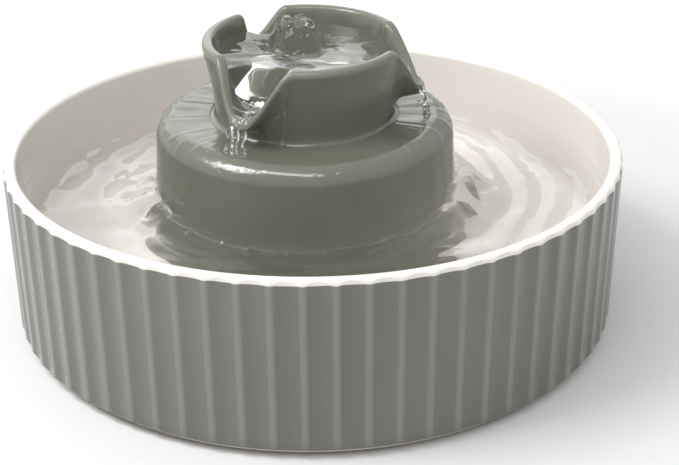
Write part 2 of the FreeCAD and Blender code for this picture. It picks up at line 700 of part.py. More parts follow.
def make_cable_gland():
    """The gland that a lead would leave by, with its flange on the resin."""
    shank = "glandShank"
    outline = [
        ("glandBore", "0"),
        ("glandRadius - slipFit", "0"),
        ("glandRadius - slipFit", shank),
        ("glandRadius + 1", shank),
        ("glandRadius + 1", shank + " + 1.4"),
        ("glandRadius - 0.6", shank + " + 1.4"),
        ("glandBore + 1", shank + " + glandLength"),
        ("glandBore", shank + " + glandLength"),
    ]
    keep(turned("cable_gland", outline,
                ("towerX + boardHalf - glandRadius", "resinBack - glandShank", "housingBottom + 3 * pumpWall"),
                ALONG_Y), "cable_gland")


def make_filter_cage():
    """A case clipped over the pump's intake, with slots in front and rails for the flow gate."""
    left = "towerX - pumpWidth / 2"
    shell = box("cage_shell", ("pumpWidth", "cageDepth", "cageHeight"), (left, "cageFront", "housingBottom"))
    inside = box("cage_inside", ("pumpWidth - 2 * cageWall", "cageDepth - cageWall + 1", "cageHeight - 2 * cageWall"),
                 (left + " + cageWall", "cageFront + cageWall", "housingBottom + cageWall"))
    slots = []
    for k in range(int(val("slotCount"))):
        shift = "(%d - (slotCount - 1) / 2) * slotPitch" % k
        x = "towerX + %s - slotWidth / 2" % shift
        slots.append(box("slot_%d" % k, ("slotWidth", "cageWall + 2", "slotHeight"),
                         (x, "cageFront - 1", "slotBottom")))
    half = "(gateWidth / 2 - 4)"
    window = box("gate_window", ("2 * " + half, "cageWall + 2", "gateHeight - 4"),
                 ("towerX - " + half, "cageFront - 1", "gateBottom + 2"))
    case = cut("cage_case", shell, [inside, window] + slots)
    run = "gateWidth + 8"
    x = "towerX - gateWidth / 2 - 1"
    rails = []
    for k, (low, lip_low) in enumerate((("gateBottom - runGap - railWidth", "gateBottom - runGap - railWidth"),
                                        ("gateBottom + gateHeight + runGap",
                                         "gateBottom + gateHeight + runGap - railLip"))):
        deep = "gateThick + 2 * runGap + railWidth"
        rails.append(box("rail_%d" % k, (run, deep, "railWidth"), (x, "cageFront - (" + deep + ")", low)))
        rails.append(box("rail_lip_%d" % k, (run, "railWidth", "railWidth + railLip"),
                         (x, "cageFront - (" + deep + ")", lip_low)))
    stops = []
    deep = "gateThick + 2 * runGap"
    for k, sx in enumerate((x, x + " + " + run + " - 1")):
        stops.append(box("rail_stop_%d" % k, ("1", deep, "gateHeight + 2 * runGap"),
                         (sx, "cageFront - (" + deep + ")", "gateBottom - runGap")))
    keep(join("filter_cage", [case] + rails + stops), "filter_cage")


def make_filter_blocks():
    width = "pumpWidth - 2 * (cageWall + padGap)"
    height = "cageHeight - 2 * (cageWall + padGap)"
    left = "towerX - pumpWidth / 2 + cageWall + padGap"
    low = "housingBottom + cageWall + padGap"
    sponge_y = "cageFront + cageWall + padGap"
    keep(box("intake_sponge", (width, "spongeThick", height), (left, sponge_y, low)), "intake_sponge")
    keep(box("carbon_pad", (width, "carbonThick", height), (left, sponge_y + " + spongeThick + padGap", low)),
         "carbon_pad")


def make_flow_gate():
    """A plate that slides along the rails, with a thumb rib, and covers part of the window."""
    plate = box("gate_plate", ("gateWidth", "gateThick", "gateHeight"),
                ("towerX - gateWidth / 2", "cageFront - gateThick - runGap", "gateBottom"))
    rib = box("gate_rib", ("2", "gateThick + 3", "gateHeight - 2 * railLip - 1.6"),
              ("towerX - 1", "cageFront - 2 * gateThick - 3 - runGap", "gateBottom + railLip + 0.8"))
    port = box("gate_port", ("gateWidth / 4", "gateThick + 2", "gateHeight - 5"),
               ("towerX - gateWidth / 2 + 3", "cageFront - gateThick - runGap - 1", "gateBottom + 2.5"))
    keep(cut("flow_gate", join("gate_whole", [plate, rib]), [port]), "flow_gate")


make_basin()
make_tower()
make_foot_pads()
make_spout_bush()
make_riser_tube()
make_suction_cups()
make_pump_housing()
make_volute_cover()
make_cover_seal()
make_shaft_and_bushes()
make_rotor()
make_stator()
make_driver_board()
make_cable_gland()
make_resin([p for p in parts if p.Label in ("stator_core", "coil_bobbin", "coil_winding", "driver_board")])
make_filter_cage()
make_filter_blocks()
make_flow_gate()
doc.removeObject("Probe")
doc.recompute()

for obj in doc.Objects:
    if "Invalid" in obj.State or "Error" in obj.State:
        raise RuntimeError("%s did not recompute: %s" % (obj.Name, obj.State))

os.makedirs("parts", exist_ok=True)
for obj in parts:
    if obj.Shape.isNull() or not obj.Shape.isValid():
        raise RuntimeError("%s has no valid shape" % obj.Label)
    print("%-16s solids %d  volume %9.1f" % (obj.Label, len(obj.Shape.Solids), obj.Shape.Volume))
for obj in parts:
    obj.Shape.exportStep("parts/%s.step" % obj.Label)
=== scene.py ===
import json
import math

import bmesh
import bpy
from mathutils import Matrix, Vector, noise


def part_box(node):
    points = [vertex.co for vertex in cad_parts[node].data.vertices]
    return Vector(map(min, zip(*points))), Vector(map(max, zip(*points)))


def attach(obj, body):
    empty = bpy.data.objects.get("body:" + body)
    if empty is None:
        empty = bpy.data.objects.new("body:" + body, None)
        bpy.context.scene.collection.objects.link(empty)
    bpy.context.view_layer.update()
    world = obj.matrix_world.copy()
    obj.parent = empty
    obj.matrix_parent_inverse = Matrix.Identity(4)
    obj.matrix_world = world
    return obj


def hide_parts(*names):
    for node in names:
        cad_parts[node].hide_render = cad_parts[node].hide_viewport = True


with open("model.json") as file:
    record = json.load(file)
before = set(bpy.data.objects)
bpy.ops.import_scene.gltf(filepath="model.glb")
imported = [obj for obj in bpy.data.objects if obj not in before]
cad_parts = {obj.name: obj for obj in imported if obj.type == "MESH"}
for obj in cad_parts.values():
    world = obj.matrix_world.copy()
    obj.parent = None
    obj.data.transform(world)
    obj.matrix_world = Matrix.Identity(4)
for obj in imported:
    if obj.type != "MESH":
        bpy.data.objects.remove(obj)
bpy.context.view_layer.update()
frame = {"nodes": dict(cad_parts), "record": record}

# Lengths are in metres. The fountain's front is -Y. An azimuth is measured round the tower from the
# front, positive to the right, in degrees. A profile is a list of (radius, height) points.
MM = 0.001

# Places read from the frame
basin_low, basin_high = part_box("basin")
bush_low, bush_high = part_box("spout_bush")
RIM_TOP = basin_high[2]
FOOT = basin_low[2]
FLOOR_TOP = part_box("tower")[0][2]
TOWER_X = (bush_low[0] + bush_high[0]) / 2
TOWER_Y = (bush_low[1] + bush_high[1]) / 2
TOWER_CENTRE = (TOWER_X, TOWER_Y)

# Basin
RIM_RADIUS = 125 * MM
WALL_LEAN = 1.6 * MM
BASIN_WALL = 5.5 * MM
FOOT_CHAMFER = 3.5 * MM
FOOT_WIDTH = 10 * MM
FOOT_RECESS = 2 * MM
INNER_CORNER = 9 * MM
RIM_ROUND = 2.2 * MM
FLUTE_COUNT = 68
FLUTE_DEPTH = 1.0 * MM
FLUTE_PHASE = -38.1
FLUTE_COLUMNS = 14

# Tower: the drum is its lower tier and the cup its upper one
DRUM_FOOT_RADIUS = 63.8 * MM
DRUM_TOP_RADIUS = 59.2 * MM
PLATEAU = 86 * MM
DRUM_ROUND = 7.8 * MM
DRUM_WALL = 5 * MM
DRUM_CEILING = 6 * MM
CAVITY_ROUND = 5 * MM
NOTCH_WIDTH = 11 * MM
NOTCH_RISE = 9 * MM
NOTCH_COUNT = 4
CUP_BASE_RADIUS = 35.8 * MM
CUP_RIM_RADIUS = 40.3 * MM
CUP_FLOOR = 90 * MM
CUP_FLOOR_RADIUS = 26 * MM
CUP_CREST = 118.4 * MM
CREST_TILT = 0.9 * MM
CUP_WALL = 4.8 * MM
SPOUT_HOLE = 10 * MM
LIP_REACH = 46.8 * MM
LIPS = (
    # azimuth of the tip, half width in degrees, height of the tip
    (-31.0, 27.0, 98.4 * MM),
    (89.0, 27.0, 98.4 * MM),
    (209.0, 17.0, 104.0 * MM),
)
TOWER_COLUMNS = 288

# Water
POOL_LEVEL = 54 * MM
CUP_LEVEL = 112.2 * MM
WATER_SEAT = 0.2 * MM

NEAR_ZERO = 1e-9


def smooth_step(low, high, value):
    t = max(0.0, min(1.0, (value - low) / (high - low)))
    return t * t * (3 - 2 * t)


def mix(a, b, t):
    return a + (b - a) * t


def uneven(x, y, z, scale=(1, 1, 1), shift=0.0):
    """Smooth unevenness between -1 and 1 that is the same at each run."""
    return noise.noise(Vector((x * scale[0], y * scale[1], z * scale[2] + shift)))


def ring_point(radius, azimuth, height, centre=(0.0, 0.0)):
    angle = math.radians(azimuth)
    return (centre[0] + radius * math.sin(angle), centre[1] - radius * math.cos(angle), height)


def tower_point(radius, azimuth, height):
    return ring_point(radius, azimuth, height, TOWER_CENTRE)


def azimuths_of(columns, start=0.0):
    return [start + k * 360 / columns for k in range(columns)]


def from_tower(x, y):
    """Distance from the tower's axis, and azimuth."""
    right = x - TOWER_X
    back = y - TOWER_Y
    return math.hypot(right, back), math.degrees(math.atan2(right, -back))


def new_object(name, data):
    obj = bpy.data.objects.new(name, data)
    bpy.context.scene.collection.objects.link(obj)
    return obj


def plain_mesh(name, verts, faces):
    mesh = bpy.data.meshes.new(name)
    mesh.from_pydata(verts, [], faces)
    return mesh


def face_outwards(mesh):
    work = bmesh.new()
    work.from_mesh(mesh)
    bmesh.ops.recalc_face_normals(work, faces=work.faces)
    work.to_mesh(mesh)
    work.free()


def shell_mesh(name, rings, loop=False):
    """A closed mesh through rings of points. A ring of one point is a pole; loop joins last to first."""
    verts = []
    starts = []
    for ring in rings:
        starts.append((len(verts), len(ring)))
        verts.extend(ring)
    faces = []
    pairs = list(zip(starts, starts[1:]))
    if loop:
        pairs.append((starts[-1], starts[0]))
    for (low, low_count), (high, high_count) in pairs:
        count = max(low_count, high_count)
        for k in range(count):
            step = (k + 1) % count
            if low_count == 1:
                faces.append((low, high + step, high + k))
            elif high_count == 1:
                faces.append((low + k, low + step, high))
            else:
                faces.append((low + k, low + step, high + step, high + k))
    mesh = plain_mesh(name, verts, faces)
    face_outwards(mesh)
    mesh.polygons.foreach_set("use_smooth", [True] * len(mesh.polygons))
    return mesh


def arc_points(centre_r, centre_z, radius, start, end, steps):
    """Points of an arc in a profile, angles in degrees from the outward direction."""
    points = []
    for k in range(steps + 1):
        angle = math.radians(mix(start, end, k / steps))
        points.append((centre_r + radius * math.cos(angle), centre_z + radius * math.sin(angle)))
    return points


def line_points(start, end, steps):
    """Points between two points of a profile, without those two."""
    shares = [k / steps for k in range(1, steps)]
    return [(mix(start[0], end[0], share), mix(start[1], end[1], share)) for share in shares]


# Camera
IMAGE_WIDTH = 679
FOCAL_PIXELS = 1600.0
CAMERA_DISTANCE = 670.79 * MM
CAMERA_ELEVATION = math.radians(25.711)
CAMERA_ROLL = math.radians(-0.431)
CAMERA_TARGET = Vector((10.446 * MM, 0.0, 31.712 * MM))
SENSOR = 36.0
CLIP_START = 10 * MM


def place_camera():
    forward = Vector((0, math.cos(CAMERA_ELEVATION), -math.sin(CAMERA_ELEVATION)))
    right = Vector((1, 0, 0))
    up = right.cross(forward)
    turned_right = right * math.cos(CAMERA_ROLL) + up * math.sin(CAMERA_ROLL)
    turned_up = up * math.cos(CAMERA_ROLL) - right * math.sin(CAMERA_ROLL)
    data = bpy.data.cameras.new("camera")
    data.sensor_width = SENSOR
    data.lens = FOCAL_PIXELS * SENSOR / IMAGE_WIDTH
    data.clip_start = CLIP_START
    camera = new_object("camera", data)
    spot = CAMERA_TARGET - forward * CAMERA_DISTANCE
    turn = Matrix((turned_right, turned_up, -forward)).transposed().to_4x4()
    camera.matrix_world = Matrix.Translation(spot) @ turn
    bpy.context.scene.camera = camera


place_camera()


# Materials

def feed(tree, value, socket):
    """Gives a socket a colour, a number or another node's result."""
    if isinstance(value, tuple):
        socket.default_value = (*value, 1)
    elif isinstance(value, (int, float)):
        socket.default_value = value
    else:
        tree.links.new(value, socket)


def calculate(tree, operation, *values):
    made = tree.nodes.new("ShaderNodeMath")
    made.operation = operation
    for socket, value in zip(made.inputs, values):
        feed(tree, value, socket)
    return made.outputs[0]


class Finish:
    """One material with a Principled surface, and short calls for the nodes behind it."""

    def __init__(self, name, colour, roughness, **settings):
        self.material = bpy.data.materials.new(name)
        self.material.use_nodes = True
        self.tree = self.material.node_tree
        self.surface = self.tree.nodes["Principled BSDF"]
        self.output = self.tree.nodes["Material Output"]
        self.surface.inputs["Base Color"].default_value = (*colour, 1)
        self.surface.inputs["Roughness"].default_value = roughness
        for key, value in settings.items():
            self.surface.inputs[key.replace("_", " ")].default_value = value

    def node(self, kind, **settings):
        made = self.tree.nodes.new(kind)
        for key, value in settings.items():
            setattr(made, key, value)
        return made

    def join(self, source, target):
        self.tree.links.new(source, target)

    def place(self):
        return self.node("ShaderNodeTexCoord").outputs["Object"]

    def math(self, operation, *values):
        return calculate(self.tree, operation, *values)

    def times(self, first, second):
        return self.math("MULTIPLY", first, second)

    def ramp(self, value, low, high, start=0.0, end=1.0):
        made = self.node("ShaderNodeMapRange", interpolation_type="SMOOTHSTEP")
        ends = {"Value": value, "From Min": low, "From Max": high, "To Min": start, "To Max": end}
        for key, amount in ends.items():
            feed(self.tree, amount, made.inputs[key])
        return made.outputs["Result"]

    def blend(self, factor, first, second):
        made = self.node("ShaderNodeMix", data_type="RGBA")
        self.join(factor, made.inputs[0])
        feed(self.tree, first, made.inputs[6])
        feed(self.tree, second, made.inputs[7])
        return made.outputs[2]

    def grain(self, scale, detail, stretch=None):
        made = self.node("ShaderNodeTexNoise")
        made.inputs["Scale"].default_value = scale
        made.inputs["Detail"].default_value = detail
        place = self.place()
        if stretch:
            mapping = self.node("ShaderNodeMapping")
            mapping.inputs["Scale"].default_value = stretch
            self.join(place, mapping.inputs["Vector"])
            place = mapping.outputs["Vector"]
        self.join(place, made.inputs["Vector"])
        return made.outputs["Fac"]

    def bump(self, height, distance, strength):
        made = self.node("ShaderNodeBump")
        made.inputs["Distance"].default_value = distance
        made.inputs["Strength"].default_value = strength
        self.join(height, made.inputs["Height"])
        self.join(made.outputs["Normal"], self.surface.inputs["Normal"])

    def colour(self, socket):
        self.join(socket, self.surface.inputs["Base Color"])


GREY_GLAZE = (0.149, 0.151, 0.130)
# The pale ridge colour is thin glaze and also a painted highlight on the ridges.
GREY_GLAZE_THIN_AND_SHEEN = (0.25, 0.252, 0.225)
GREY_GLAZE_DARK = (0.112, 0.114, 0.097)
WHITE_GLAZE = (0.77, 0.73, 0.685)
BARE_CLAY = (0.45, 0.38, 0.30)
TOWER_GLAZE = (0.112, 0.123, 0.090)
# The pale tower colour is used for clouds and at the crest, where it is also a painted highlight.
TOWER_GLAZE_PALE = (0.185, 0.195, 0.155)

# The wavy line below the rim where the white glaze ends, higher on the ridges
GLAZE_LINE_DEPTH = 2.6 * MM
GLAZE_LINE_LIFT = 0.45 * MM
GLAZE_DRIP = 0.8 * MM
GLAZE_WANDER = 0.7 * MM


def basin_glaze():
    """Grey-green glaze outside, thin on the ridges and paler there as a painted highlight, white glaze
    inside and over the rim.
    """
    coat = Finish("basin_glaze", GREY_GLAZE, roughness=0.2, Specular_IOR_Level=0.5)
    place = coat.node("ShaderNodeSeparateXYZ")
    coat.join(coat.place(), place.inputs[0])
    x, y, z = place.outputs
    radius = coat.math("SQRT", coat.math("ADD", coat.times(x, x), coat.times(y, y)))
    ridge = coat.node("ShaderNodeAttribute", attribute_name="ridge").outputs["Fac"]

    wander = coat.grain(scale=90, detail=2.0)
    drip = coat.times(coat.math("POWER", ridge, 3.0), coat.times(wander, GLAZE_DRIP))
    line = coat.math("ADD", RIM_TOP - GLAZE_LINE_DEPTH, coat.times(ridge, GLAZE_LINE_LIFT))
    line = coat.math("SUBTRACT", line, drip)
    line = coat.math("ADD", line, coat.times(wander, GLAZE_WANDER))
    over = coat.ramp(coat.math("SUBTRACT", z, line), low=-0.12 * MM, high=0.22 * MM)
    inside = coat.ramp(radius, low=120.4 * MM, high=121.2 * MM, start=1.0, end=0.0)
    white = coat.math("MAXIMUM", over, inside)

    # Paler ridges: thinner glaze where it breaks, and a painted highlight along each ridge.
    thin_glaze_and_sheen = coat.ramp(ridge, low=0.62, high=0.98)
    # Darker towards the foot.
    darker_low = coat.ramp(z, low=FOOT + 2 * MM, high=FOOT + 9 * MM, start=1.0, end=0.0)
    cloud = coat.ramp(coat.grain(scale=28, detail=4.0, stretch=(1, 1, 0.35)), low=0.35, high=0.7)
    grey = coat.blend(coat.times(cloud, 0.35), GREY_GLAZE, GREY_GLAZE_DARK)
    grey = coat.blend(coat.times(thin_glaze_and_sheen, 0.55), grey, GREY_GLAZE_THIN_AND_SHEEN)
    grey = coat.blend(coat.times(darker_low, 0.4), grey, GREY_GLAZE_DARK)
    glaze = coat.blend(white, grey, WHITE_GLAZE)

    wiped_low = coat.ramp(z, low=FOOT + 0.25 * MM, high=FOOT + 0.6 * MM, start=1.0, end=0.0)
    wiped_ring = coat.ramp(radius, low=100 * MM, high=104 * MM)
    bare = coat.times(wiped_low, wiped_ring)
    coat.colour(coat.blend(bare, glaze, BARE_CLAY))
    roughness = coat.ramp(bare, low=0.0, high=1.0, start=0.1, end=0.85)
    coat.join(roughness, coat.surface.inputs["Roughness"])
    coat.bump(coat.grain(scale=260, detail=2.0), distance=0.05 * MM, strength=0.5)
    return coat.material


def tower_glaze():
    """Dark grey-green gloss glaze, thinner where it breaks over the rim and paler there as a painted
    highlight.
    """
    coat = Finish("tower_glaze", TOWER_GLAZE, roughness=0.12, Specular_IOR_Level=0.55)
    edge = coat.node("ShaderNodeAttribute", attribute_name="edge").outputs["Fac"]
    cloud = coat.ramp(coat.grain(scale=35, detail=4.0), low=0.35, high=0.75)
    base = coat.blend(coat.times(cloud, 0.25), TOWER_GLAZE, TOWER_GLAZE_PALE)
    # Paler at the crest: thinner glaze, and a painted highlight along the rim's edge.
    coat.colour(coat.blend(coat.times(edge, 0.6), base, TOWER_GLAZE_PALE))
    coat.bump(coat.grain(scale=70, detail=2.0, stretch=(1, 1, 0.3)), distance=0.12 * MM, strength=0.6)
    return coat.material


def water():
    """Clear water that bends what is seen through it and lets the lamps light what is below."""
    clear = Finish("water", (1.0, 1.0, 1.0), roughness=0.0, Transmission_Weight=1.0, IOR=1.33)
    path = clear.node("ShaderNodeLightPath")
    open_way = clear.node("ShaderNodeBsdfTransparent")
    through = clear.node("ShaderNodeMixShader")
    lit = clear.math("MAXIMUM", path.outputs["Is Shadow Ray"], path.outputs["Is Diffuse Ray"])
    clear.join(lit, through.inputs[0])
    clear.join(clear.surface.outputs[0], through.inputs[1])
    clear.join(open_way.outputs[0], through.inputs[2])
    clear.join(through.outputs[0], clear.output.inputs["Surface"])
    return clear.material


def moulded(name, colour, roughness, cloudiness):
    """Moulded plastic, rubber or resin with fine grain. Its clouds are darker by cloudiness."""
    skin = Finish(name, colour, roughness)
    darker = tuple(part * cloudiness for part in colour)
    cloud = skin.ramp(skin.grain(scale=120, detail=4.0), low=0.3, high=0.75)
    skin.colour(skin.blend(cloud, colour, darker))
    skin.bump(skin.grain(scale=600, detail=2.0), distance=0.03 * MM, strength=0.5)
    return skin.material


def banded(name, light, dark, roughness, pitch, direction, metallic):
    """Wire turns or sheet edges: fine bands across the piece, one in each pitch. On wire the dark bands
    are painted shade in the grooves between the turns.
    """
    skin = Finish(name, light, roughness, Metallic=metallic)
    wave = skin.node("ShaderNodeTexWave", wave_type="BANDS", bands_direction=direction)
    wave.inputs["Scale"].default_value = math.pi / (10 * pitch)
    wave.inputs["Distortion"].default_value = 0.4
    skin.join(skin.place(), wave.inputs["Vector"])
    skin.colour(skin.blend(wave.outputs["Fac"], dark, light))
    skin.bump(wave.outputs["Fac"], distance=0.6 * pitch, strength=0.8)
    return skin.material


def foam(name, light, dark, cell):
    """Open-cell sponge or felt, with painted shade in its pores."""
    skin = Finish(name, light, roughness=0.95, Specular_IOR_Level=0.1)
    cells = skin.node("ShaderNodeTexVoronoi", feature="F1")
    cells.inputs["Scale"].default_value = 1 / cell
    skin.join(skin.place(), cells.inputs["Vector"])
    pores = skin.ramp(cells.outputs["Distance"], low=0.15, high=0.6)
    # The pores are darker: painted shade in the holes.
    skin.colour(skin.blend(pores, dark, light))
    skin.bump(pores, distance=0.6 * cell, strength=1.0)
    return skin.material


MOULDED = {
    # colour, roughness, share of the colour that is left in the clouds
    "clear_silicone": ((0.70, 0.71, 0.70), 0.35, 0.92),
    "grey_silicone": ((0.22, 0.23, 0.23), 0.45, 0.82),
    "pump_plastic": ((0.74, 0.74, 0.72), 0.38, 0.94),
    "rotor_plastic": ((0.68, 0.68, 0.65), 0.28, 0.92),
    "cage_plastic": ((0.42, 0.44, 0.43), 0.42, 0.9),
    "ferrite": ((0.05, 0.05, 0.055), 0.6, 0.82),
    "shaft_ceramic": ((0.80, 0.79, 0.75), 0.12, 0.95),
    "board_laminate": ((0.03, 0.15, 0.06), 0.35, 0.82),
    "resin": ((0.025, 0.025, 0.027), 0.2, 0.82),
}
BANDED = {
    # light band, dark band, roughness, pitch of the bands, direction, metallic
    "core_steel": ((0.42, 0.42, 0.43), (0.16, 0.16, 0.17), 0.4, 0.25 * MM, "Y", 1.0),
    # The copper's dark band is painted shade between the turns.
    "copper_wire": ((0.60, 0.24, 0.09), (0.22, 0.07, 0.03), 0.3, 0.175 * MM, "X", 0.8),
}
FOAM = {
    # cell walls, pores (painted shade), width of a cell
    "sponge": ((0.12, 0.12, 0.13), (0.02, 0.02, 0.02), 0.9 * MM),
    "carbon_felt": ((0.20, 0.20, 0.20), (0.05, 0.05, 0.05), 0.5 * MM),
}


def dress_frame_nodes():
    """Gives each frame node that stays the material of its slot in the record."""
    materials = {}
    for make, kinds in ((moulded, MOULDED), (banded, BANDED), (foam, FOAM)):
        for name, values in kinds.items():
            materials[name] = make(name, *values)
    slots = {part["node"]: part["material_slot"] for part in frame["record"]["subparts"]}
    for node, obj in frame["nodes"].items():
        if slots[node] in materials:
            for place in obj.material_slots:
                place.material = materials[slots[node]]


dress_frame_nodes()


def finish_piece(obj, material, body, stands_for=()):
    obj.data.materials.clear()
    obj.data.materials.append(material)
    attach(obj, body)
    if stands_for:
        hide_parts(*stands_for)


def bake_modifiers(obj):
    """Turns the modifiers' result into a plain mesh and takes the modifiers off."""
    bpy.context.view_layer.update()
    evaluated = obj.evaluated_get(bpy.context.evaluated_depsgraph_get())
    mesh = bpy.data.meshes.new_from_object(evaluated)
    obj.modifiers.clear()
    obj.data = mesh


def start_tree(name, sizes):
    """A geometry tree with its sizes as named inputs, and the settings for a modifier that runs it."""
    tree = bpy.data.node_groups.new(name, "GeometryNodeTree")
    for way in ("INPUT", "OUTPUT"):
        tree.interface.new_socket("Geometry", in_out=way, socket_type="NodeSocketGeometry")
    settings = {}
    for label, value in sizes.items():
        kind = "NodeSocketInt" if isinstance(value, int) else "NodeSocketFloat"
        socket = tree.interface.new_socket(label, in_out="INPUT", socket_type=kind)
        socket.default_value = value
        settings[socket.identifier] = value
    return tree, settings


def end_tree(tree, shape, material):
    """Closes a tree with real copies and the piece's material."""
    realize = tree.nodes.new("GeometryNodeRealizeInstances")
    paint = tree.nodes.new("GeometryNodeSetMaterial")
    paint.inputs["Material"].default_value = material
    result = tree.nodes.new("NodeGroupOutput")
    tree.links.new(shape, realize.inputs[0])
    tree.links.new(realize.outputs[0], paint.inputs["Geometry"])
    tree.links.new(paint.outputs[0], result.inputs[0])


def run_tree(obj, tree, settings):
    """Runs a tree on a piece and keeps the result as its plain mesh."""
    modifier = obj.modifiers.new(tree.name, "NODES")
    modifier.node_group = tree
    for identifier, value in settings.items():
        modifier[identifier] = value
    bake_modifiers(obj)


# Basin: a smooth turned shape, which a tree of nodes then flutes
CENTRE_RING = 40 * MM
FLOOR_RING = 90 * MM
RECESS_EDGE = 0.4 * MM
FOOT_EDGE = 0.3 * MM
SMALL_STEP = 0.1 * MM


def basin_profile():
    """From the recess under the floor, up the outside, over the rim, to the floor inside."""
    foot_radius = RIM_RADIUS - WALL_LEAN
    ring_outer = foot_radius - FOOT_CHAMFER - FLUTE_DEPTH
    ring_inner = ring_outer - FOOT_WIDTH
    recess = FOOT + FOOT_RECESS
    inside = RIM_RADIUS - BASIN_WALL
    inside_foot = foot_radius - BASIN_WALL
    rim_centre = RIM_TOP - RIM_ROUND
    corner_centre = FLOOR_TOP + INNER_CORNER
    ring_edge = (ring_outer, FOOT + SMALL_STEP)
    chamfer_top = (foot_radius + SMALL_STEP, FOOT + FOOT_CHAMFER + FLUTE_DEPTH + SMALL_STEP)
    corner_top = (inside_foot + SMALL_STEP, corner_centre)
    points = [
        (CENTRE_RING, recess),
        (ring_inner - RECESS_EDGE, recess),
        (ring_inner, recess - RECESS_EDGE),
        (ring_inner, FOOT + FOOT_EDGE),
        (ring_inner + FOOT_EDGE, FOOT),
        (ring_outer - FOOT_EDGE, FOOT),
        ring_edge,
    ]
    points += line_points(ring_edge, chamfer_top, steps=8)
    points += [chamfer_top]
    points += line_points(chamfer_top, (RIM_RADIUS, rim_centre), steps=22)
    points += arc_points(RIM_RADIUS - RIM_ROUND, rim_centre, RIM_ROUND, 0, 90, steps=9)
    points += arc_points(inside + RIM_ROUND, rim_centre, RIM_ROUND, 90, 180, steps=6)
    points += line_points((inside, rim_centre), corner_top, steps=8)
    points += arc_points(inside_foot - INNER_CORNER, corner_centre, INNER_CORNER, 0, -90, steps=8)
    points += [(FLOOR_RING, FLOOR_TOP), (CENTRE_RING, FLOOR_TOP)]
    return points


FLUTED_FROM = 121.5 * MM
FLUTE_EASE = 0.5 * MM


def flute_tree(material):
    """Draws the outside in to concave flutes, and stores how near a ridge each point is."""
    tree, settings = start_tree("flutes", {
        "Flute Count": FLUTE_COUNT,
        "Flute Depth": FLUTE_DEPTH,
        "Ridge Azimuth": math.radians(FLUTE_PHASE),
        "Foot Radius": RIM_RADIUS - WALL_LEAN,
        "Lean": WALL_LEAN / (RIM_TOP - FOOT),
        "Foot Height": FOOT,
    })
    given = tree.nodes.new("NodeGroupInput").outputs
    link = tree.links.new

    def calc(operation, *values):
        return calculate(tree, operation, *values)

    def times(first, second):
        return calc("MULTIPLY", first, second)

    split = tree.nodes.new("ShaderNodeSeparateXYZ")
    link(tree.nodes.new("GeometryNodeInputPosition").outputs[0], split.inputs[0])
    x, y, z = split.outputs
    radius = calc("SQRT", calc("ADD", times(x, x), times(y, y)))
    azimuth = calc("ARCTAN2", x, times(y, -1.0))

    # Across a flute, from -1 on one ridge to 1 on the next, its height is (s^2 - s^6 / 3) / (2 / 3)
    turns = times(calc("SUBTRACT", azimuth, given["Ridge Azimuth"]),
                  calc("DIVIDE", given["Flute Count"], 2 * math.pi))
    across = calc("SUBTRACT", times(calc("FRACT", turns), 2.0), 1.0)
    square = times(across, across)
    rounding = times(calc("POWER", square, 3.0), 1 / 3)
    height = calc("DIVIDE", calc("SUBTRACT", square, rounding), 2 / 3)

    inward = times(calc("SUBTRACT", 1.0, height), given["Flute Depth"])
    lean = times(calc("SUBTRACT", z, given["Foot Height"]), given["Lean"])
    fluted = calc("SUBTRACT", calc("ADD", given["Foot Radius"], lean), inward)
    target = calc("SMOOTH_MIN", radius, fluted, FLUTE_EASE)
    outside = calc("GREATER_THAN", radius, FLUTED_FROM)
    target = calc("ADD", times(target, outside), times(radius, calc("SUBTRACT", 1.0, outside)))
    scale = calc("DIVIDE", target, calc("MAXIMUM", radius, NEAR_ZERO))
    spot = tree.nodes.new("ShaderNodeCombineXYZ")
    link(times(x, scale), spot.inputs[0])
    link(times(y, scale), spot.inputs[1])
    link(z, spot.inputs[2])

    store = tree.nodes.new("GeometryNodeStoreNamedAttribute")
    store.data_type = "FLOAT"
    store.domain = "POINT"
    store.inputs["Name"].default_value = "ridge"
    link(given["Geometry"], store.inputs["Geometry"])
    link(height, store.inputs["Value"])
    move = tree.nodes.new("GeometryNodeSetPosition")
    link(store.outputs[0], move.inputs["Geometry"])
    link(spot.outputs[0], move.inputs["Position"])
    end_tree(tree, move.outputs[0], material)
    return tree, settings


def make_basin():
    azimuths = azimuths_of(FLUTE_COUNT * FLUTE_COLUMNS, FLUTE_PHASE)
    rings = [[(0.0, 0.0, FOOT + FOOT_RECESS)]]
    for radius, height in basin_profile():
        rings.append([ring_point(radius, azimuth, height) for azimuth in azimuths])
    rings.append([(0.0, 0.0, FLOOR_TOP)])
    obj = new_object("fluted_basin", shell_mesh("fluted_basin", rings))
    material = basin_glaze()
    run_tree(obj, *flute_tree(material))
    finish_piece(obj, material, "basin", ["basin"])


make_basin()


# Tower

def lip_at(azimuth):
    """Weight of the pouring lip at an azimuth, and the height of its tip."""
    for tip, half_width, height in LIPS:
        away = abs((azimuth - tip + 180) % 360 - 180) / half_width
        if away < 1:
            return 0.5 + 0.5 * math.cos(math.pi * away), height
    return 0.0, LIPS[0][2]


def crest_at(azimuth):
    """Height of the rim's crest, its outer radius, and the weight of the lip there."""
    weight, tip_height = lip_at(azimuth)
    height = CUP_CREST - CREST_TILT * math.cos(math.radians(azimuth)) - (CUP_CREST - tip_height) * weight
    return height, mix(CUP_RIM_RADIUS, LIP_REACH, weight), weight


CUP_FILLET_REACH = 0.9 * MM
CUP_FILLET_RISE = 1.2 * MM
CUP_FILLET_EDGE = 0.15 * MM
CUP_FLARE = 0.35
LIP_HOLLOW = 0.45
RIM_SECTION = (
    # shares of the wall's thickness, inwards from the outside and down from the crest
    (0.04, 0.75),
    (0.0, 0.42),
    (0.16, 0.10),
    (0.5, 0.0),
    (0.84, 0.12),
    (1.0, 0.5),
)
# The bowl inside: shares of the way out to the wall and up to the crest, and of the way out at its foot
BOWL_MIDDLE = (0.62, 0.42)
BOWL_FOOT = 0.22
BOWL_FOOT_RISE = 1.2 * MM
CREST_POINT = 6
CUP_STEPS = 5


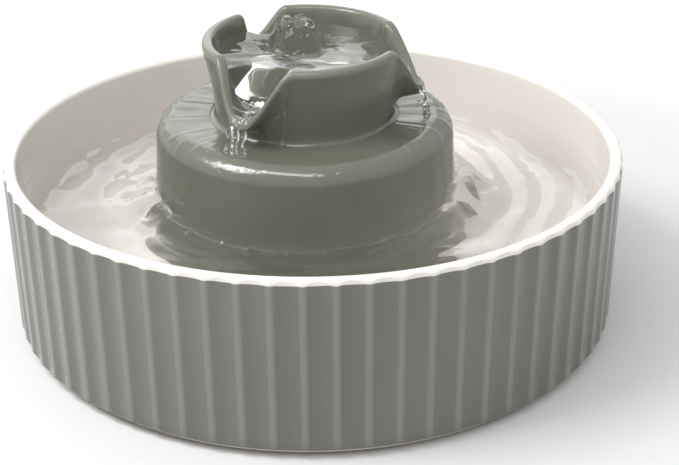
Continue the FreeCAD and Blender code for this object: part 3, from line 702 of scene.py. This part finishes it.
def cup_profile(azimuth):
    """Control points of the upper tier from its foot, over the rim, down to its floor."""
    crest, outer, weight = crest_at(azimuth)
    foot = CUP_BASE_RADIUS
    inner = outer - CUP_WALL
    middle = foot + CUP_FLARE * (outer - foot) * (1 - LIP_HOLLOW * weight)
    points = [
        (foot + CUP_FILLET_REACH, PLATEAU + CUP_FILLET_EDGE),
        (foot + CUP_FILLET_EDGE, PLATEAU + CUP_FILLET_RISE),
        (middle, mix(PLATEAU, crest, 0.5)),
    ]
    points += [(outer - inwards * CUP_WALL, crest - down * CUP_WALL) for inwards, down in RIM_SECTION]
    points += [
        (mix(CUP_FLOOR_RADIUS, inner, BOWL_MIDDLE[0]), mix(CUP_FLOOR, crest, BOWL_MIDDLE[1])),
        (mix(CUP_FLOOR_RADIUS, inner, BOWL_FOOT), CUP_FLOOR + BOWL_FOOT_RISE),
        (CUP_FLOOR_RADIUS, CUP_FLOOR),
    ]
    return points


def mix_between(a, b, start, end, t):
    """The point at t, where point a stands at start and point b at end."""
    share = (t - start) / (end - start)
    return (mix(a[0], b[0], share), mix(a[1], b[1], share))


def spline(points, steps):
    """A smooth curve through control points, with the same number of steps in each span."""
    before = (2 * points[0][0] - points[1][0], 2 * points[0][1] - points[1][1])
    after = (2 * points[-1][0] - points[-2][0], 2 * points[-1][1] - points[-2][1])
    knots = [before] + points + [after]
    curve = []
    for k in range(1, len(knots) - 2):
        span = knots[k - 1:k + 3]
        stamps = [0.0]
        for a, b in zip(span, span[1:]):
            length = max(math.hypot(b[0] - a[0], b[1] - a[1]), NEAR_ZERO)
            stamps.append(stamps[-1] + length ** 0.5)
        for step in range(steps):
            t = mix(stamps[1], stamps[2], step / steps)
            first = [mix_between(span[i], span[i + 1], stamps[i], stamps[i + 1], t) for i in range(3)]
            second = [mix_between(first[i], first[i + 1], stamps[i], stamps[i + 2], t) for i in range(2)]
            curve.append(mix_between(second[0], second[1], stamps[1], stamps[2], t))
    curve.append(points[-1])
    return curve


DRUM_FOOT_EDGE = 1 * MM
CUP_FILLET_GAP = 2.2 * MM
DRUM_SLOPE = (DRUM_FOOT_RADIUS - DRUM_TOP_RADIUS) / (PLATEAU - FLOOR_TOP)


def drum_radius(height):
    return DRUM_FOOT_RADIUS - DRUM_SLOPE * (height - FLOOR_TOP)


def drum_profile():
    """The lower tier from its foot to the foot of the upper one."""
    lean = math.degrees(math.atan(DRUM_SLOPE))
    centre_z = PLATEAU - DRUM_ROUND
    centre_r = drum_radius(centre_z) - DRUM_ROUND / math.cos(math.radians(lean))
    edge_top = FLOOR_TOP + DRUM_FOOT_EDGE
    wall_foot = (drum_radius(edge_top), edge_top)
    plateau_end = (CUP_BASE_RADIUS + CUP_FILLET_GAP, PLATEAU)
    arc = arc_points(centre_r, centre_z, DRUM_ROUND, lean, 90, steps=14)
    points = [(DRUM_FOOT_RADIUS - DRUM_FOOT_EDGE, FLOOR_TOP), wall_foot]
    points += line_points(wall_foot, arc[0], steps=18)
    points += arc
    points += line_points(arc[-1], plateau_end, steps=8)
    points += [plateau_end]
    return points


HOLE_EDGE = 0.5 * MM
HOLE_EDGE_BELOW = 0.3 * MM
HOLLOW_EDGE = 0.5 * MM
HOLLOW_FOOT_EDGE = 0.8 * MM


def hollow_profile():
    """From the spout hole, through the lower tier's hollow, back to the foot."""
    underside = CUP_FLOOR - DRUM_CEILING
    ceiling = PLATEAU - DRUM_CEILING
    wall_r = DRUM_TOP_RADIUS - DRUM_WALL
    foot_r = DRUM_FOOT_RADIUS - DRUM_WALL
    points = [
        (SPOUT_HOLE + HOLE_EDGE, CUP_FLOOR),
        (SPOUT_HOLE, CUP_FLOOR - HOLE_EDGE),
        (SPOUT_HOLE, underside + HOLE_EDGE_BELOW),
        (SPOUT_HOLE + HOLE_EDGE_BELOW, underside),
        (CUP_FLOOR_RADIUS - HOLLOW_EDGE, underside),
        (CUP_FLOOR_RADIUS, underside - HOLLOW_EDGE),
        (CUP_FLOOR_RADIUS, ceiling + HOLLOW_EDGE),
        (CUP_FLOOR_RADIUS + HOLLOW_EDGE, ceiling),
    ]
    points += arc_points(wall_r - CAVITY_ROUND, ceiling - CAVITY_ROUND, CAVITY_ROUND, 90, 0, steps=8)
    points += [(mix(wall_r, foot_r, down), mix(ceiling, FLOOR_TOP, down)) for down in (0.35, 0.7)]
    points += [(foot_r, FLOOR_TOP + HOLLOW_FOOT_EDGE), (foot_r + HOLLOW_FOOT_EDGE, FLOOR_TOP)]
    return points


NOTCH_BELOW = 2 * MM


def arch_cutter(k):
    """The solid that cuts one arched notch through the foot of the lower tier."""
    half = NOTCH_WIDTH / 2
    outline = [(-half, FLOOR_TOP - NOTCH_BELOW), (half, FLOOR_TOP - NOTCH_BELOW)]
    outline += arc_points(0, FLOOR_TOP + NOTCH_RISE - half, half, 0, 180, steps=16)
    turn = math.radians(360 / NOTCH_COUNT * (k + 1))
    verts = []
    for depth in (DRUM_FOOT_RADIUS - 2 * DRUM_WALL, DRUM_FOOT_RADIUS + DRUM_WALL):
        for side, height in outline:
            x = TOWER_X + depth * math.cos(turn) - side * math.sin(turn)
            y = TOWER_Y + depth * math.sin(turn) + side * math.cos(turn)
            verts.append((x, y, height))
    count = len(outline)
    faces = [tuple(range(count)), tuple(range(2 * count - 1, count - 1, -1))]
    for i in range(count):
        j = (i + 1) % count
        faces.append((i, i + count, j + count, j))
    mesh = plain_mesh("arch_%d" % k, verts, faces)
    face_outwards(mesh)
    return new_object(mesh.name, mesh)


def cut_notches(obj):
    cutters = [arch_cutter(k) for k in range(NOTCH_COUNT)]
    for k, cutter in enumerate(cutters):
        modifier = obj.modifiers.new("notch_%d" % k, "BOOLEAN")
        modifier.operation = "DIFFERENCE"
        modifier.solver = "EXACT"
        modifier.object = cutter
    bake_modifiers(obj)
    for cutter in cutters:
        bpy.data.objects.remove(cutter)


# Band round the crest with thinner glaze and a painted highlight.
THIN_GLAZE_AND_SHEEN_NEAR = 1.5 * MM
THIN_GLAZE_AND_SHEEN_FAR = 4.5 * MM


def store_thin_glaze_and_sheen(mesh):
    """Stores how near the rim's crest each point is, for the glaze that thins there and the painted
    highlight along it.
    """
    values = []
    for vertex in mesh.vertices:
        x, y, z = vertex.co
        radius, azimuth = from_tower(x, y)
        crest, outer, _ = crest_at(azimuth)
        near = math.hypot(z - crest, radius - (outer - CUP_WALL / 2))
        values.append(1 - smooth_step(THIN_GLAZE_AND_SHEEN_NEAR, THIN_GLAZE_AND_SHEEN_FAR, near))
    mesh.attributes.new("edge", "FLOAT", "POINT").data.foreach_set("value", values)


def make_tower():
    azimuths = azimuths_of(TOWER_COLUMNS)
    drum = drum_profile()
    floor = line_points((CUP_FLOOR_RADIUS, CUP_FLOOR), (SPOUT_HOLE + HOLE_EDGE, CUP_FLOOR), steps=4)
    hollow = hollow_profile()
    profiles = [drum + spline(cup_profile(azimuth), CUP_STEPS) + floor + hollow for azimuth in azimuths]
    rings = []
    for level in zip(*profiles):
        rings.append([tower_point(radius, azimuth, height)
                      for azimuth, (radius, height) in zip(azimuths, level)])
    obj = new_object("glazed_tower", shell_mesh("glazed_tower", rings, loop=True))
    cut_notches(obj)
    store_thin_glaze_and_sheen(obj.data)
    finish_piece(obj, tower_glaze(), "tower", ["tower"])


make_tower()


# Water
WATER = water()


def add_water(name, rings, body="tower", loop=False):
    finish_piece(new_object(name, shell_mesh(name, rings, loop)), WATER, body)


WAVES = {
    # height, bumps in a metre and seed of each unevenness of the surface
    "ring_bend": (2.6, 24, 0),
    "chop": (0.7 * MM, 40, 3),
    "fine_chop": (0.3 * MM, 110, 5),
    "splash_lumps": (1.2, 60, 7),
    "splash_grain": (1.6, 130, 9),
    "froth": (1.6, 300, 21),
    "boil_lumps": (6.5, 130, 11),
    "boil_grain": (4.0, 290, 13),
    "cup_ripple": (0.45 * MM, 150, 15),
    "cup_swell": (0.3 * MM, 60, 17),
}


def waves(x, y, kind):
    height, scale, seed = WAVES[kind]
    return height * uneven(x, y, 0, scale=(scale, scale, 1), shift=seed)


# Pool: rings round the tower, and rough water where the falls run in, highest in a swell at each
# side. Heights of the splash are in millimetres.
SWELL_AZIMUTH = 74
SWELL_SPREAD = 24
SPLASH_WIDTH = 8 * MM
SPLASH_FRONT = 1.8
SPLASH_SIDES = 5.6
SPLASH_LEAST = 0.6
SPLASH_BACK_AZIMUTHS = (95, 125)
SPLASH_BACK_LOSS = 0.8
RING_SPACING = 13 * MM
RING_HEIGHT = 0.5 * MM
RING_FADE = 30 * MM
RING_FAR_SHARE = 0.3
FROTH_WIDTH = 4 * MM
CALM_RADIUS = 118 * MM
CALM_WIDTH = 12 * MM
CALM_SHARE = 0.2


def pool_height(x, y):
    """Height of the pool's surface."""
    distance, azimuth = from_tower(x, y)
    away = distance - drum_radius(POOL_LEVEL)
    aside = abs(azimuth)
    swell = math.exp(-((aside - SWELL_AZIMUTH) / SWELL_SPREAD) ** 2)
    width = SPLASH_WIDTH + SPLASH_WIDTH * swell
    reach = abs(away) / (width if away > 0 else DRUM_WALL)
    close = math.exp(-reach ** 3) * (1 - SPLASH_BACK_LOSS * smooth_step(*SPLASH_BACK_AZIMUTHS, aside))
    ring_phase = 2 * math.pi * away / RING_SPACING + waves(x, y, "ring_bend")
    ring_share = RING_FAR_SHARE + (1 - RING_FAR_SHARE) * math.exp(-max(away, 0) / RING_FADE)
    rings = RING_HEIGHT * math.sin(ring_phase) * ring_share
    chop = waves(x, y, "chop") + waves(x, y, "fine_chop")
    lumps = SPLASH_LEAST + abs(waves(x, y, "splash_lumps"))
    splash = (SPLASH_FRONT + SPLASH_SIDES * swell) * lumps + waves(x, y, "splash_grain")
    froth = waves(x, y, "froth") * math.exp(-abs(away) / FROTH_WIDTH)
    collar = (splash * close + froth) * MM
    open_water = smooth_step(0, CALM_WIDTH, CALM_RADIUS - math.hypot(x, y))
    return POOL_LEVEL + (rings + chop) * mix(CALM_SHARE, 1, open_water) + collar


POOL_COLUMNS = 360
POOL_CORE_STEP = 8 * MM
POOL_CORE_RINGS = 6
POOL_RINGS = 90
POOL_CORNER_STEP = 0.2 * MM


def make_pool():
    """The basin's water, seated a little in the walls and the floor."""
    wall = RIM_RADIUS - BASIN_WALL + WATER_SEAT
    level_r = wall - WALL_LEAN * (RIM_TOP - POOL_LEVEL) / (RIM_TOP - FOOT)
    core = POOL_CORE_STEP * POOL_CORE_RINGS
    azimuths = azimuths_of(POOL_COLUMNS)
    radii = [POOL_CORE_STEP * k for k in range(1, POOL_CORE_RINGS + 1)]
    radii += [core + (level_r - core) * k / POOL_RINGS for k in range(1, POOL_RINGS + 1)]
    rings = [[(0.0, 0.0, POOL_LEVEL)]]
    for radius in radii:
        spots = [ring_point(radius, azimuth, 0) for azimuth in azimuths]
        rings.append([(x, y, pool_height(x, y)) for x, y, _ in spots])
    foot_r = wall - WALL_LEAN
    corner_z = FLOOR_TOP + INNER_CORNER
    side = [(foot_r + POOL_CORNER_STEP, corner_z)]
    corner = arc_points(foot_r - INNER_CORNER, corner_z - WATER_SEAT, INNER_CORNER, 0, -90, steps=6)
    for radius, height in side + corner[1:]:
        rings.append([ring_point(radius, azimuth, height) for azimuth in azimuths])
    rings.append([(0.0, 0.0, FLOOR_TOP - WATER_SEAT)])
    add_water("pool_water", rings, body="basin")


# Upper tier's water: a mound wells up and boils behind the middle, and the water runs down to each
# lip. Heights of the boil and at the lips are in millimetres.
MOUND_LEFT = 3 * MM
MOUND_BACK = 9.5 * MM
MOUND_RISE = 10.5 * MM
MOUND_RADIUS = 10 * MM
MOUND_STEEPNESS = 5
BOIL_RISE = 1.6
BOIL_SPREAD = 1.3
SPLASH_TOP = 122.6 * MM
LIP_DEPTH = 1.0
LIP_SIDE_DEPTH = 5.0
PULL_FROM = 22 * MM
PULL_BEYOND = 3 * MM
PULL_WEIGHT = 0.4
RIPPLE_STRETCH = 0.45
SMOOTH_SHARE = 0.8
SMOOTH_WEIGHTS = (0.05, 0.5)
SMOOTH_RADII = (18 * MM, 32 * MM)


def cup_water_height(radius, azimuth):
    """Height of the water in the upper tier."""
    x, y, _ = ring_point(radius, azimuth, 0)
    spread = math.hypot(x + MOUND_LEFT, y - MOUND_BACK) / MOUND_RADIUS
    mound = MOUND_RISE * math.exp(-spread ** MOUND_STEEPNESS)
    boil = (BOIL_RISE - abs(waves(x, y, "boil_lumps")) - abs(waves(x, y, "boil_grain"))) * MM
    boil *= math.exp(-(spread / BOIL_SPREAD) ** 3)
    _, outer, weight = crest_at(azimuth)
    leaving = lip_at(azimuth)[1] + (LIP_DEPTH + LIP_SIDE_DEPTH * (1 - weight)) * MM
    pull = smooth_step(PULL_FROM, outer + PULL_BEYOND, radius) * smooth_step(0.0, PULL_WEIGHT, weight)
    level = mix(CUP_LEVEL, leaving, pull)
    ripple = waves(x * RIPPLE_STRETCH, y, "cup_ripple") + waves(x, y, "cup_swell")
    smooth = smooth_step(*SMOOTH_WEIGHTS, weight) * smooth_step(*SMOOTH_RADII, radius)
    return min(level + mound + boil + ripple * (1 - SMOOTH_SHARE * smooth), SPLASH_TOP)


def wall_height(inside, radius):
    """Height of the inside surface at a radius, from points that run from the crest to the floor."""
    for (r0, z0), (r1, z1) in zip(inside, inside[1:]):
        if min(r0, r1) <= radius <= max(r0, r1):
            return mix(z1, z0, (radius - r1) / (r0 - r1)) if abs(r0 - r1) > NEAR_ZERO else max(z0, z1)
    return inside[-1][1]


CUP_WATER_RINGS = 60
CUP_WATER_BASE = CUP_FLOOR + 1.4 * MM
EDGE_STEPS = 199
EDGE_MARGIN = 0.05 * MM
POURING_DEPTH = 0.5 * MM
LEAST_DEPTH = 0.08 * MM


def water_edge(inside, crest_r, azimuth):
    """Radius where the wall comes out of the water, or that of the crest where the water pours."""
    for step in range(EDGE_STEPS + 1):
        radius = CUP_FLOOR_RADIUS + (crest_r - CUP_FLOOR_RADIUS) * step / EDGE_STEPS
        if wall_height(inside, radius) > cup_water_height(radius, azimuth) + EDGE_MARGIN:
            return radius
    return crest_r


def make_cup_water():
    tops = [[] for _ in range(CUP_WATER_RINGS)]
    bottoms = [[] for _ in range(CUP_WATER_RINGS)]
    for azimuth in azimuths_of(TOWER_COLUMNS):
        inside = spline(cup_profile(azimuth), CUP_STEPS)[CREST_POINT * CUP_STEPS:]
        crest_r = crest_at(azimuth)[1] - CUP_WALL / 2
        edge = water_edge(inside, crest_r, azimuth)
        for step in range(CUP_WATER_RINGS):
            radius = edge * (step + 1) / CUP_WATER_RINGS
            top = cup_water_height(radius, azimuth)
            if radius < CUP_FLOOR_RADIUS:
                base = CUP_WATER_BASE
            else:
                base = wall_height(inside, radius) - WATER_SEAT
            if edge == crest_r and step == CUP_WATER_RINGS - 1:
                top = base + POURING_DEPTH
            tops[step].append(tower_point(radius, azimuth, max(top, base + LEAST_DEPTH)))
            bottoms[step].append(tower_point(radius, azimuth, base))
    rings = [[(TOWER_X, TOWER_Y, cup_water_height(0, 0))]] + tops
    rings += bottoms[::-1] + [[(TOWER_X, TOWER_Y, CUP_WATER_BASE)]]
    add_water("cup_water", rings)


# Film on the lower tier. Its thicknesses are in millimetres.
FILM_COLUMNS = 432
FILM_OVERLAP = 3 * MM
FILM_STEP = 0.9 * MM
FILM_LEAST = 0.3
FILM_STREAKS = 0.3
FILM_FAN = 0.4
FILM_BEADS = 0.7
FILM_RIPPLE = 0.12
FAN_SPREAD = 14
BEAD_BAND = 2.5 * MM


def film_thickness(x, y, z):
    """Thickness of the water that runs down the tower, thick in streaks and below the lips."""
    radius, azimuth = from_tower(x, y)
    streak = 0.5 + 0.5 * uneven(azimuth, radius, z, scale=(0.13, 50, 22), shift=2)
    ripple = uneven(x, y, z, scale=(110, 190, 60), shift=5)
    fan = max(lip_at(azimuth + bend)[0] for bend in (-FAN_SPREAD, 0, FAN_SPREAD))
    edge = math.exp(-((z - PLATEAU + BEAD_BAND) / BEAD_BAND) ** 2)
    beads = edge * max(0.0, uneven(azimuth, 3.0, z, scale=(0.3, 1, 150)))
    film = FILM_LEAST + FILM_STREAKS * streak ** 2 + FILM_FAN * fan * streak + FILM_BEADS * beads
    return film * MM + FILM_RIPPLE * MM * ripple


def fine_drum_profile():
    """The lower tier's profile down to just below the pool's level, in short steps."""
    profile = [point for point in drum_profile() if point[1] > POOL_LEVEL - FILM_OVERLAP]
    fine = []
    for a, b in zip(profile, profile[1:]):
        length = math.hypot(b[0] - a[0], b[1] - a[1])
        fine += [a] + line_points(a, b, max(1, round(length / FILM_STEP)))
    return fine + [profile[-1]]


def make_tower_film():
    """A skin of moving water over the lower tier, from the upper tier's foot to the pool."""
    profile = fine_drum_profile()
    azimuths = azimuths_of(FILM_COLUMNS)
    outer_rings = []
    inner_rings = []
    for i, (radius, height) in enumerate(profile):
        before = profile[max(i - 1, 0)]
        after = profile[min(i + 1, len(profile) - 1)]
        dr = after[0] - before[0]
        dz = after[1] - before[1]
        size = math.hypot(dr, dz)
        out_r = dz / size
        out_z = -dr / size
        outer = []
        for azimuth in azimuths:
            thick = film_thickness(*tower_point(radius, azimuth, height))
            outer.append(tower_point(radius + out_r * thick, azimuth, height + out_z * thick))
        outer_rings.append(outer)
        seat_r = radius - out_r * WATER_SEAT
        seat_z = height - out_z * WATER_SEAT
        inner_rings.append([tower_point(seat_r, azimuth, seat_z) for azimuth in azimuths])
    add_water("tower_film", outer_rings + inner_rings[::-1], loop=True)


STRAND_UNEVENNESS = 0.35
STRAND_FLATNESS = 0.55
NEAR_UPRIGHT = 1e-4


def strand_rings(path, radii, sides, twist=0.0):
    """Rings of a flat, uneven strand of water along a path."""
    rings = [[tuple(path[0])]]
    for i, (point, radius) in enumerate(zip(path, radii)):
        ahead = path[min(i + 1, len(path) - 1)] - path[max(i - 1, 0)]
        ahead.normalize()
        side = ahead.cross(Vector((0, 0, 1)))
        if side.length < NEAR_UPRIGHT:
            side = Vector((1, 0, 0))
        side.normalize()
        other = ahead.cross(side)
        ring = []
        for k in range(sides):
            angle = 2 * math.pi * k / sides
            bumps = uneven(math.cos(angle), math.sin(angle), i, scale=(1.3, 1.3, 0.16), shift=twist)
            wobble = 1 + STRAND_UNEVENNESS * bumps
            around = side * math.cos(angle) + other * math.sin(angle) * STRAND_FLATNESS
            ring.append(tuple(point + around * radius * wobble))
        rings.append(ring)
    rings.append([tuple(path[-1])])
    return rings


FALL_STRANDS = (
    # side step in degrees and width of each strand
    (-4.2, 2.6 * MM),
    (3.4, 3.0 * MM),
    (-0.4, 1.9 * MM),
)
FALL_STEPS = 30
FALL_SIDES = 16
FALL_START_IN = 1.6 * MM
FALL_START_UP = 0.1 * MM
FALL_REACH = 4.2 * MM
FALL_SWAY = 1.2
FALL_GATHER = 0.3
FALL_NARROWING = 0.45


def make_fall(lip, strand):
    """One strand of water that leaves a lip and lands on the lower tier."""
    azimuth, _, tip_height = LIPS[lip]
    bend, width = FALL_STRANDS[strand]
    start_r = LIP_REACH - FALL_START_IN
    start_z = tip_height + FALL_START_UP
    path = []
    radii = []
    for i in range(FALL_STEPS):
        t = i / (FALL_STEPS - 1)
        radius = start_r + FALL_REACH * t ** 0.6
        height = start_z - (start_z - PLATEAU) * t ** 1.5
        sway = FALL_SWAY * uneven(t, strand, lip, scale=(3, 5.1, 2.3))
        turn = azimuth + bend * (1 - FALL_GATHER * t) + sway
        path.append(Vector(tower_point(radius, turn, height)))
        radii.append(width * (1.0 - FALL_NARROWING * math.sin(math.pi * t * 0.85)))
    rings = strand_rings(path, radii, FALL_SIDES, twist=3 * strand + lip)
    add_water("fall_%d_%d" % (lip, strand), rings)


def make_falls():
    for lip in range(len(LIPS)):
        for strand in range(len(FALL_STRANDS)):
            make_fall(lip, strand)


RIVULET_AZIMUTH = -11.0
RIVULET_TOP = 112 * MM
RIVULET_END = (
    # radius and height of the run across the lower tier
    (38.5 * MM, PLATEAU + 0.3 * MM),
    (44 * MM, PLATEAU),
    (50 * MM, PLATEAU),
)
RIVULET_STEPS = 60
RIVULET_SIDES = 12
RIVULET_WIDTH = 1.8 * MM
RIVULET_LEAST = 0.5
RIVULET_BEADS = 0.9
RIVULET_SWAY = 1.1
RIVULET_LIFT = 0.3 * MM


def make_rivulet():
    """A thin broken run of water down the front of the upper tier and across the lower one."""
    profile = spline(cup_profile(RIVULET_AZIMUTH), CUP_STEPS)
    outside = profile[CUP_STEPS:(CREST_POINT - 1) * CUP_STEPS]
    way = [point for point in outside if point[1] < RIVULET_TOP][::-1] + list(RIVULET_END)
    path = []
    radii = []
    for i in range(RIVULET_STEPS):
        spot = i / (RIVULET_STEPS - 1) * (len(way) - 1)
        low = min(int(spot), len(way) - 2)
        radius = mix(way[low][0], way[low + 1][0], spot - low)
        height = mix(way[low][1], way[low + 1][1], spot - low)
        sway = RIVULET_SWAY * uneven(i, 7.7, 0, scale=(0.12, 1, 1))
        path.append(Vector(tower_point(radius + RIVULET_LIFT, RIVULET_AZIMUTH + sway, height)))
        beads = RIVULET_LEAST + RIVULET_BEADS * abs(uneven(i, 1.3, 4.4, scale=(0.23, 1, 1)))
        radii.append(RIVULET_WIDTH * beads)
    add_water("rivulet", strand_rings(path, radii, RIVULET_SIDES))


DROP_RADIUS = 1.0 * MM
DROP_FLATNESS = 0.7
DROP_LEAST = 0.3
DROP_ROUNDNESS = 2
DROPS_PER_AREA = 26000.0
DROP_SEED = 7


def splash_tree(material):
    """Scatters beads of water over the patches it is given."""
    tree, settings = start_tree("splash", {
        "Drops Per Area": DROPS_PER_AREA,
        "Drop Radius": DROP_RADIUS,
        "Seed": DROP_SEED,
    })
    given = tree.nodes.new("NodeGroupInput").outputs
    scatter = tree.nodes.new("GeometryNodeDistributePointsOnFaces")
    bead = tree.nodes.new("GeometryNodeMeshIcoSphere")
    bead.inputs["Subdivisions"].default_value = DROP_ROUNDNESS
    smooth = tree.nodes.new("GeometryNodeSetShadeSmooth")
    size = tree.nodes.new("FunctionNodeRandomValue")
    size.data_type = "FLOAT"
    size.inputs[2].default_value = DROP_LEAST
    size.inputs[3].default_value = 1.0
    share = size.outputs[1]
    shape = tree.nodes.new("ShaderNodeCombineXYZ")
    copies = tree.nodes.new("GeometryNodeInstanceOnPoints")
    for source, target in (
        (given["Geometry"], scatter.inputs["Mesh"]),
        (given["Drops Per Area"], scatter.inputs["Density"]),
        (given["Seed"], scatter.inputs["Seed"]),
        (given["Drop Radius"], bead.inputs["Radius"]),
        (given["Seed"], size.inputs["Seed"]),
        (share, shape.inputs[0]),
        (share, shape.inputs[1]),
        (calculate(tree, "MULTIPLY", share, DROP_FLATNESS), shape.inputs[2]),
        (bead.outputs["Mesh"], smooth.inputs[0]),
        (scatter.outputs["Points"], copies.inputs["Points"]),
        (smooth.outputs[0], copies.inputs["Instance"]),
        (shape.outputs[0], copies.inputs["Scale"]),
    ):
        tree.links.new(source, target)
    end_tree(tree, copies.outputs[0], material)
    return tree, settings


SPLASH_HALF_WIDTH = 20
SPLASH_COLUMNS = 12
SPLASH_DROP = 5 * MM
SPLASH_RADIUS = 45 * MM
SPLASH_LIFT = 0.3 * MM


def make_splash():
    """Beads of water where each lip's fall lands on the lower tier."""
    edge = [(radius, height + SPLASH_LIFT) for radius, height in drum_profile()
            if height > PLATEAU - SPLASH_DROP and radius > SPLASH_RADIUS]
    turns = [SPLASH_HALF_WIDTH * (2 * k / SPLASH_COLUMNS - 1) for k in range(SPLASH_COLUMNS + 1)]
    verts = []
    faces = []
    for azimuth, _, _ in LIPS:
        first = len(verts)
        for radius, height in edge:
            verts.extend(tower_point(radius, azimuth + turn, height) for turn in turns)
        for row in range(len(edge) - 1):
            for k in range(SPLASH_COLUMNS):
                near = first + row * len(turns) + k
                far = near + len(turns)
                faces.append((near, near + 1, far + 1, far))
    obj = new_object("splash", plain_mesh("splash", verts, faces))
    run_tree(obj, *splash_tree(WATER))
    finish_piece(obj, WATER, "tower")


make_pool()
make_cup_water()
make_tower_film()
make_falls()
make_rivulet()
make_splash()


# Stage: pale floor, white surroundings and soft lamps
FLOOR_COLOUR = (0.70, 0.70, 0.705)
FLOOR_HALF = 4.0
WHITE_FROM = 0.24
WHITE_AT = 0.6
WORLD_LIGHT = 0.80


def make_stage():
    """A pale floor that turns to plain white away from the fountain."""
    corners = [(x * FLOOR_HALF, y * FLOOR_HALF, 0) for x, y in ((-1, -1), (1, -1), (1, 1), (-1, 1))]
    floor = new_object("floor", plain_mesh("floor", corners, [(0, 1, 2, 3)]))
    matt = Finish("floor", FLOOR_COLOUR, roughness=0.9, Specular_IOR_Level=0.0)
    distance = matt.node("ShaderNodeVectorMath", operation="LENGTH")
    matt.join(matt.place(), distance.inputs[0])
    seen = matt.node("ShaderNodeLightPath").outputs["Is Camera Ray"]
    far = matt.ramp(distance.outputs["Value"], low=WHITE_FROM, high=WHITE_AT)
    matt.surface.inputs["Emission Color"].default_value = (1, 1, 1, 1)
    matt.join(matt.times(far, seen), matt.surface.inputs["Emission Strength"])
    floor.data.materials.append(matt.material)


def make_world():
    """White where it is seen or mirrored, and a little dimmer as light."""
    world = bpy.data.worlds.new("studio")
    bpy.context.scene.world = world
    world.use_nodes = True
    tree = world.node_tree
    shade = tree.nodes["Background"]
    shade.inputs["Color"].default_value = (1, 1, 1, 1)
    path = tree.nodes.new("ShaderNodeLightPath").outputs
    mirrored = calculate(tree, "MAXIMUM", path["Is Glossy Ray"], path["Is Transmission Ray"])
    seen = calculate(tree, "MAXIMUM", path["Is Camera Ray"], mirrored)
    strength = tree.nodes.new("ShaderNodeMapRange")
    strength.inputs["To Min"].default_value = WORLD_LIGHT
    strength.inputs["To Max"].default_value = 1.0
    tree.links.new(seen, strength.inputs["Value"])
    tree.links.new(strength.outputs["Result"], shade.inputs["Strength"])


def make_lamp(name, spot, aim, size, power):
    data = bpy.data.lights.new(name, "AREA")
    data.shape = "RECTANGLE"
    data.size, data.size_y = size
    data.energy = power
    way = Vector(aim) - Vector(spot)
    turn = way.to_track_quat("-Z", "Y").to_matrix().to_4x4()
    new_object(name, data).matrix_world = Matrix.Translation(spot) @ turn


make_stage()
make_world()
make_lamp("side", spot=(-0.78, -0.25, 1.0), aim=(0, 0, 0.05), size=(0.6, 0.5), power=9.0)
make_lamp("top", spot=(-0.3, -0.42, 1.05), aim=(0, 0, 0.08), size=(1.2, 0.22), power=4.8)
make_lamp("back", spot=(-0.25, 1.1, 0.58), aim=(0, 0, 0.08), size=(1.1, 0.5), power=1.8)
bpy.context.scene.view_settings.view_transform = "Standard"
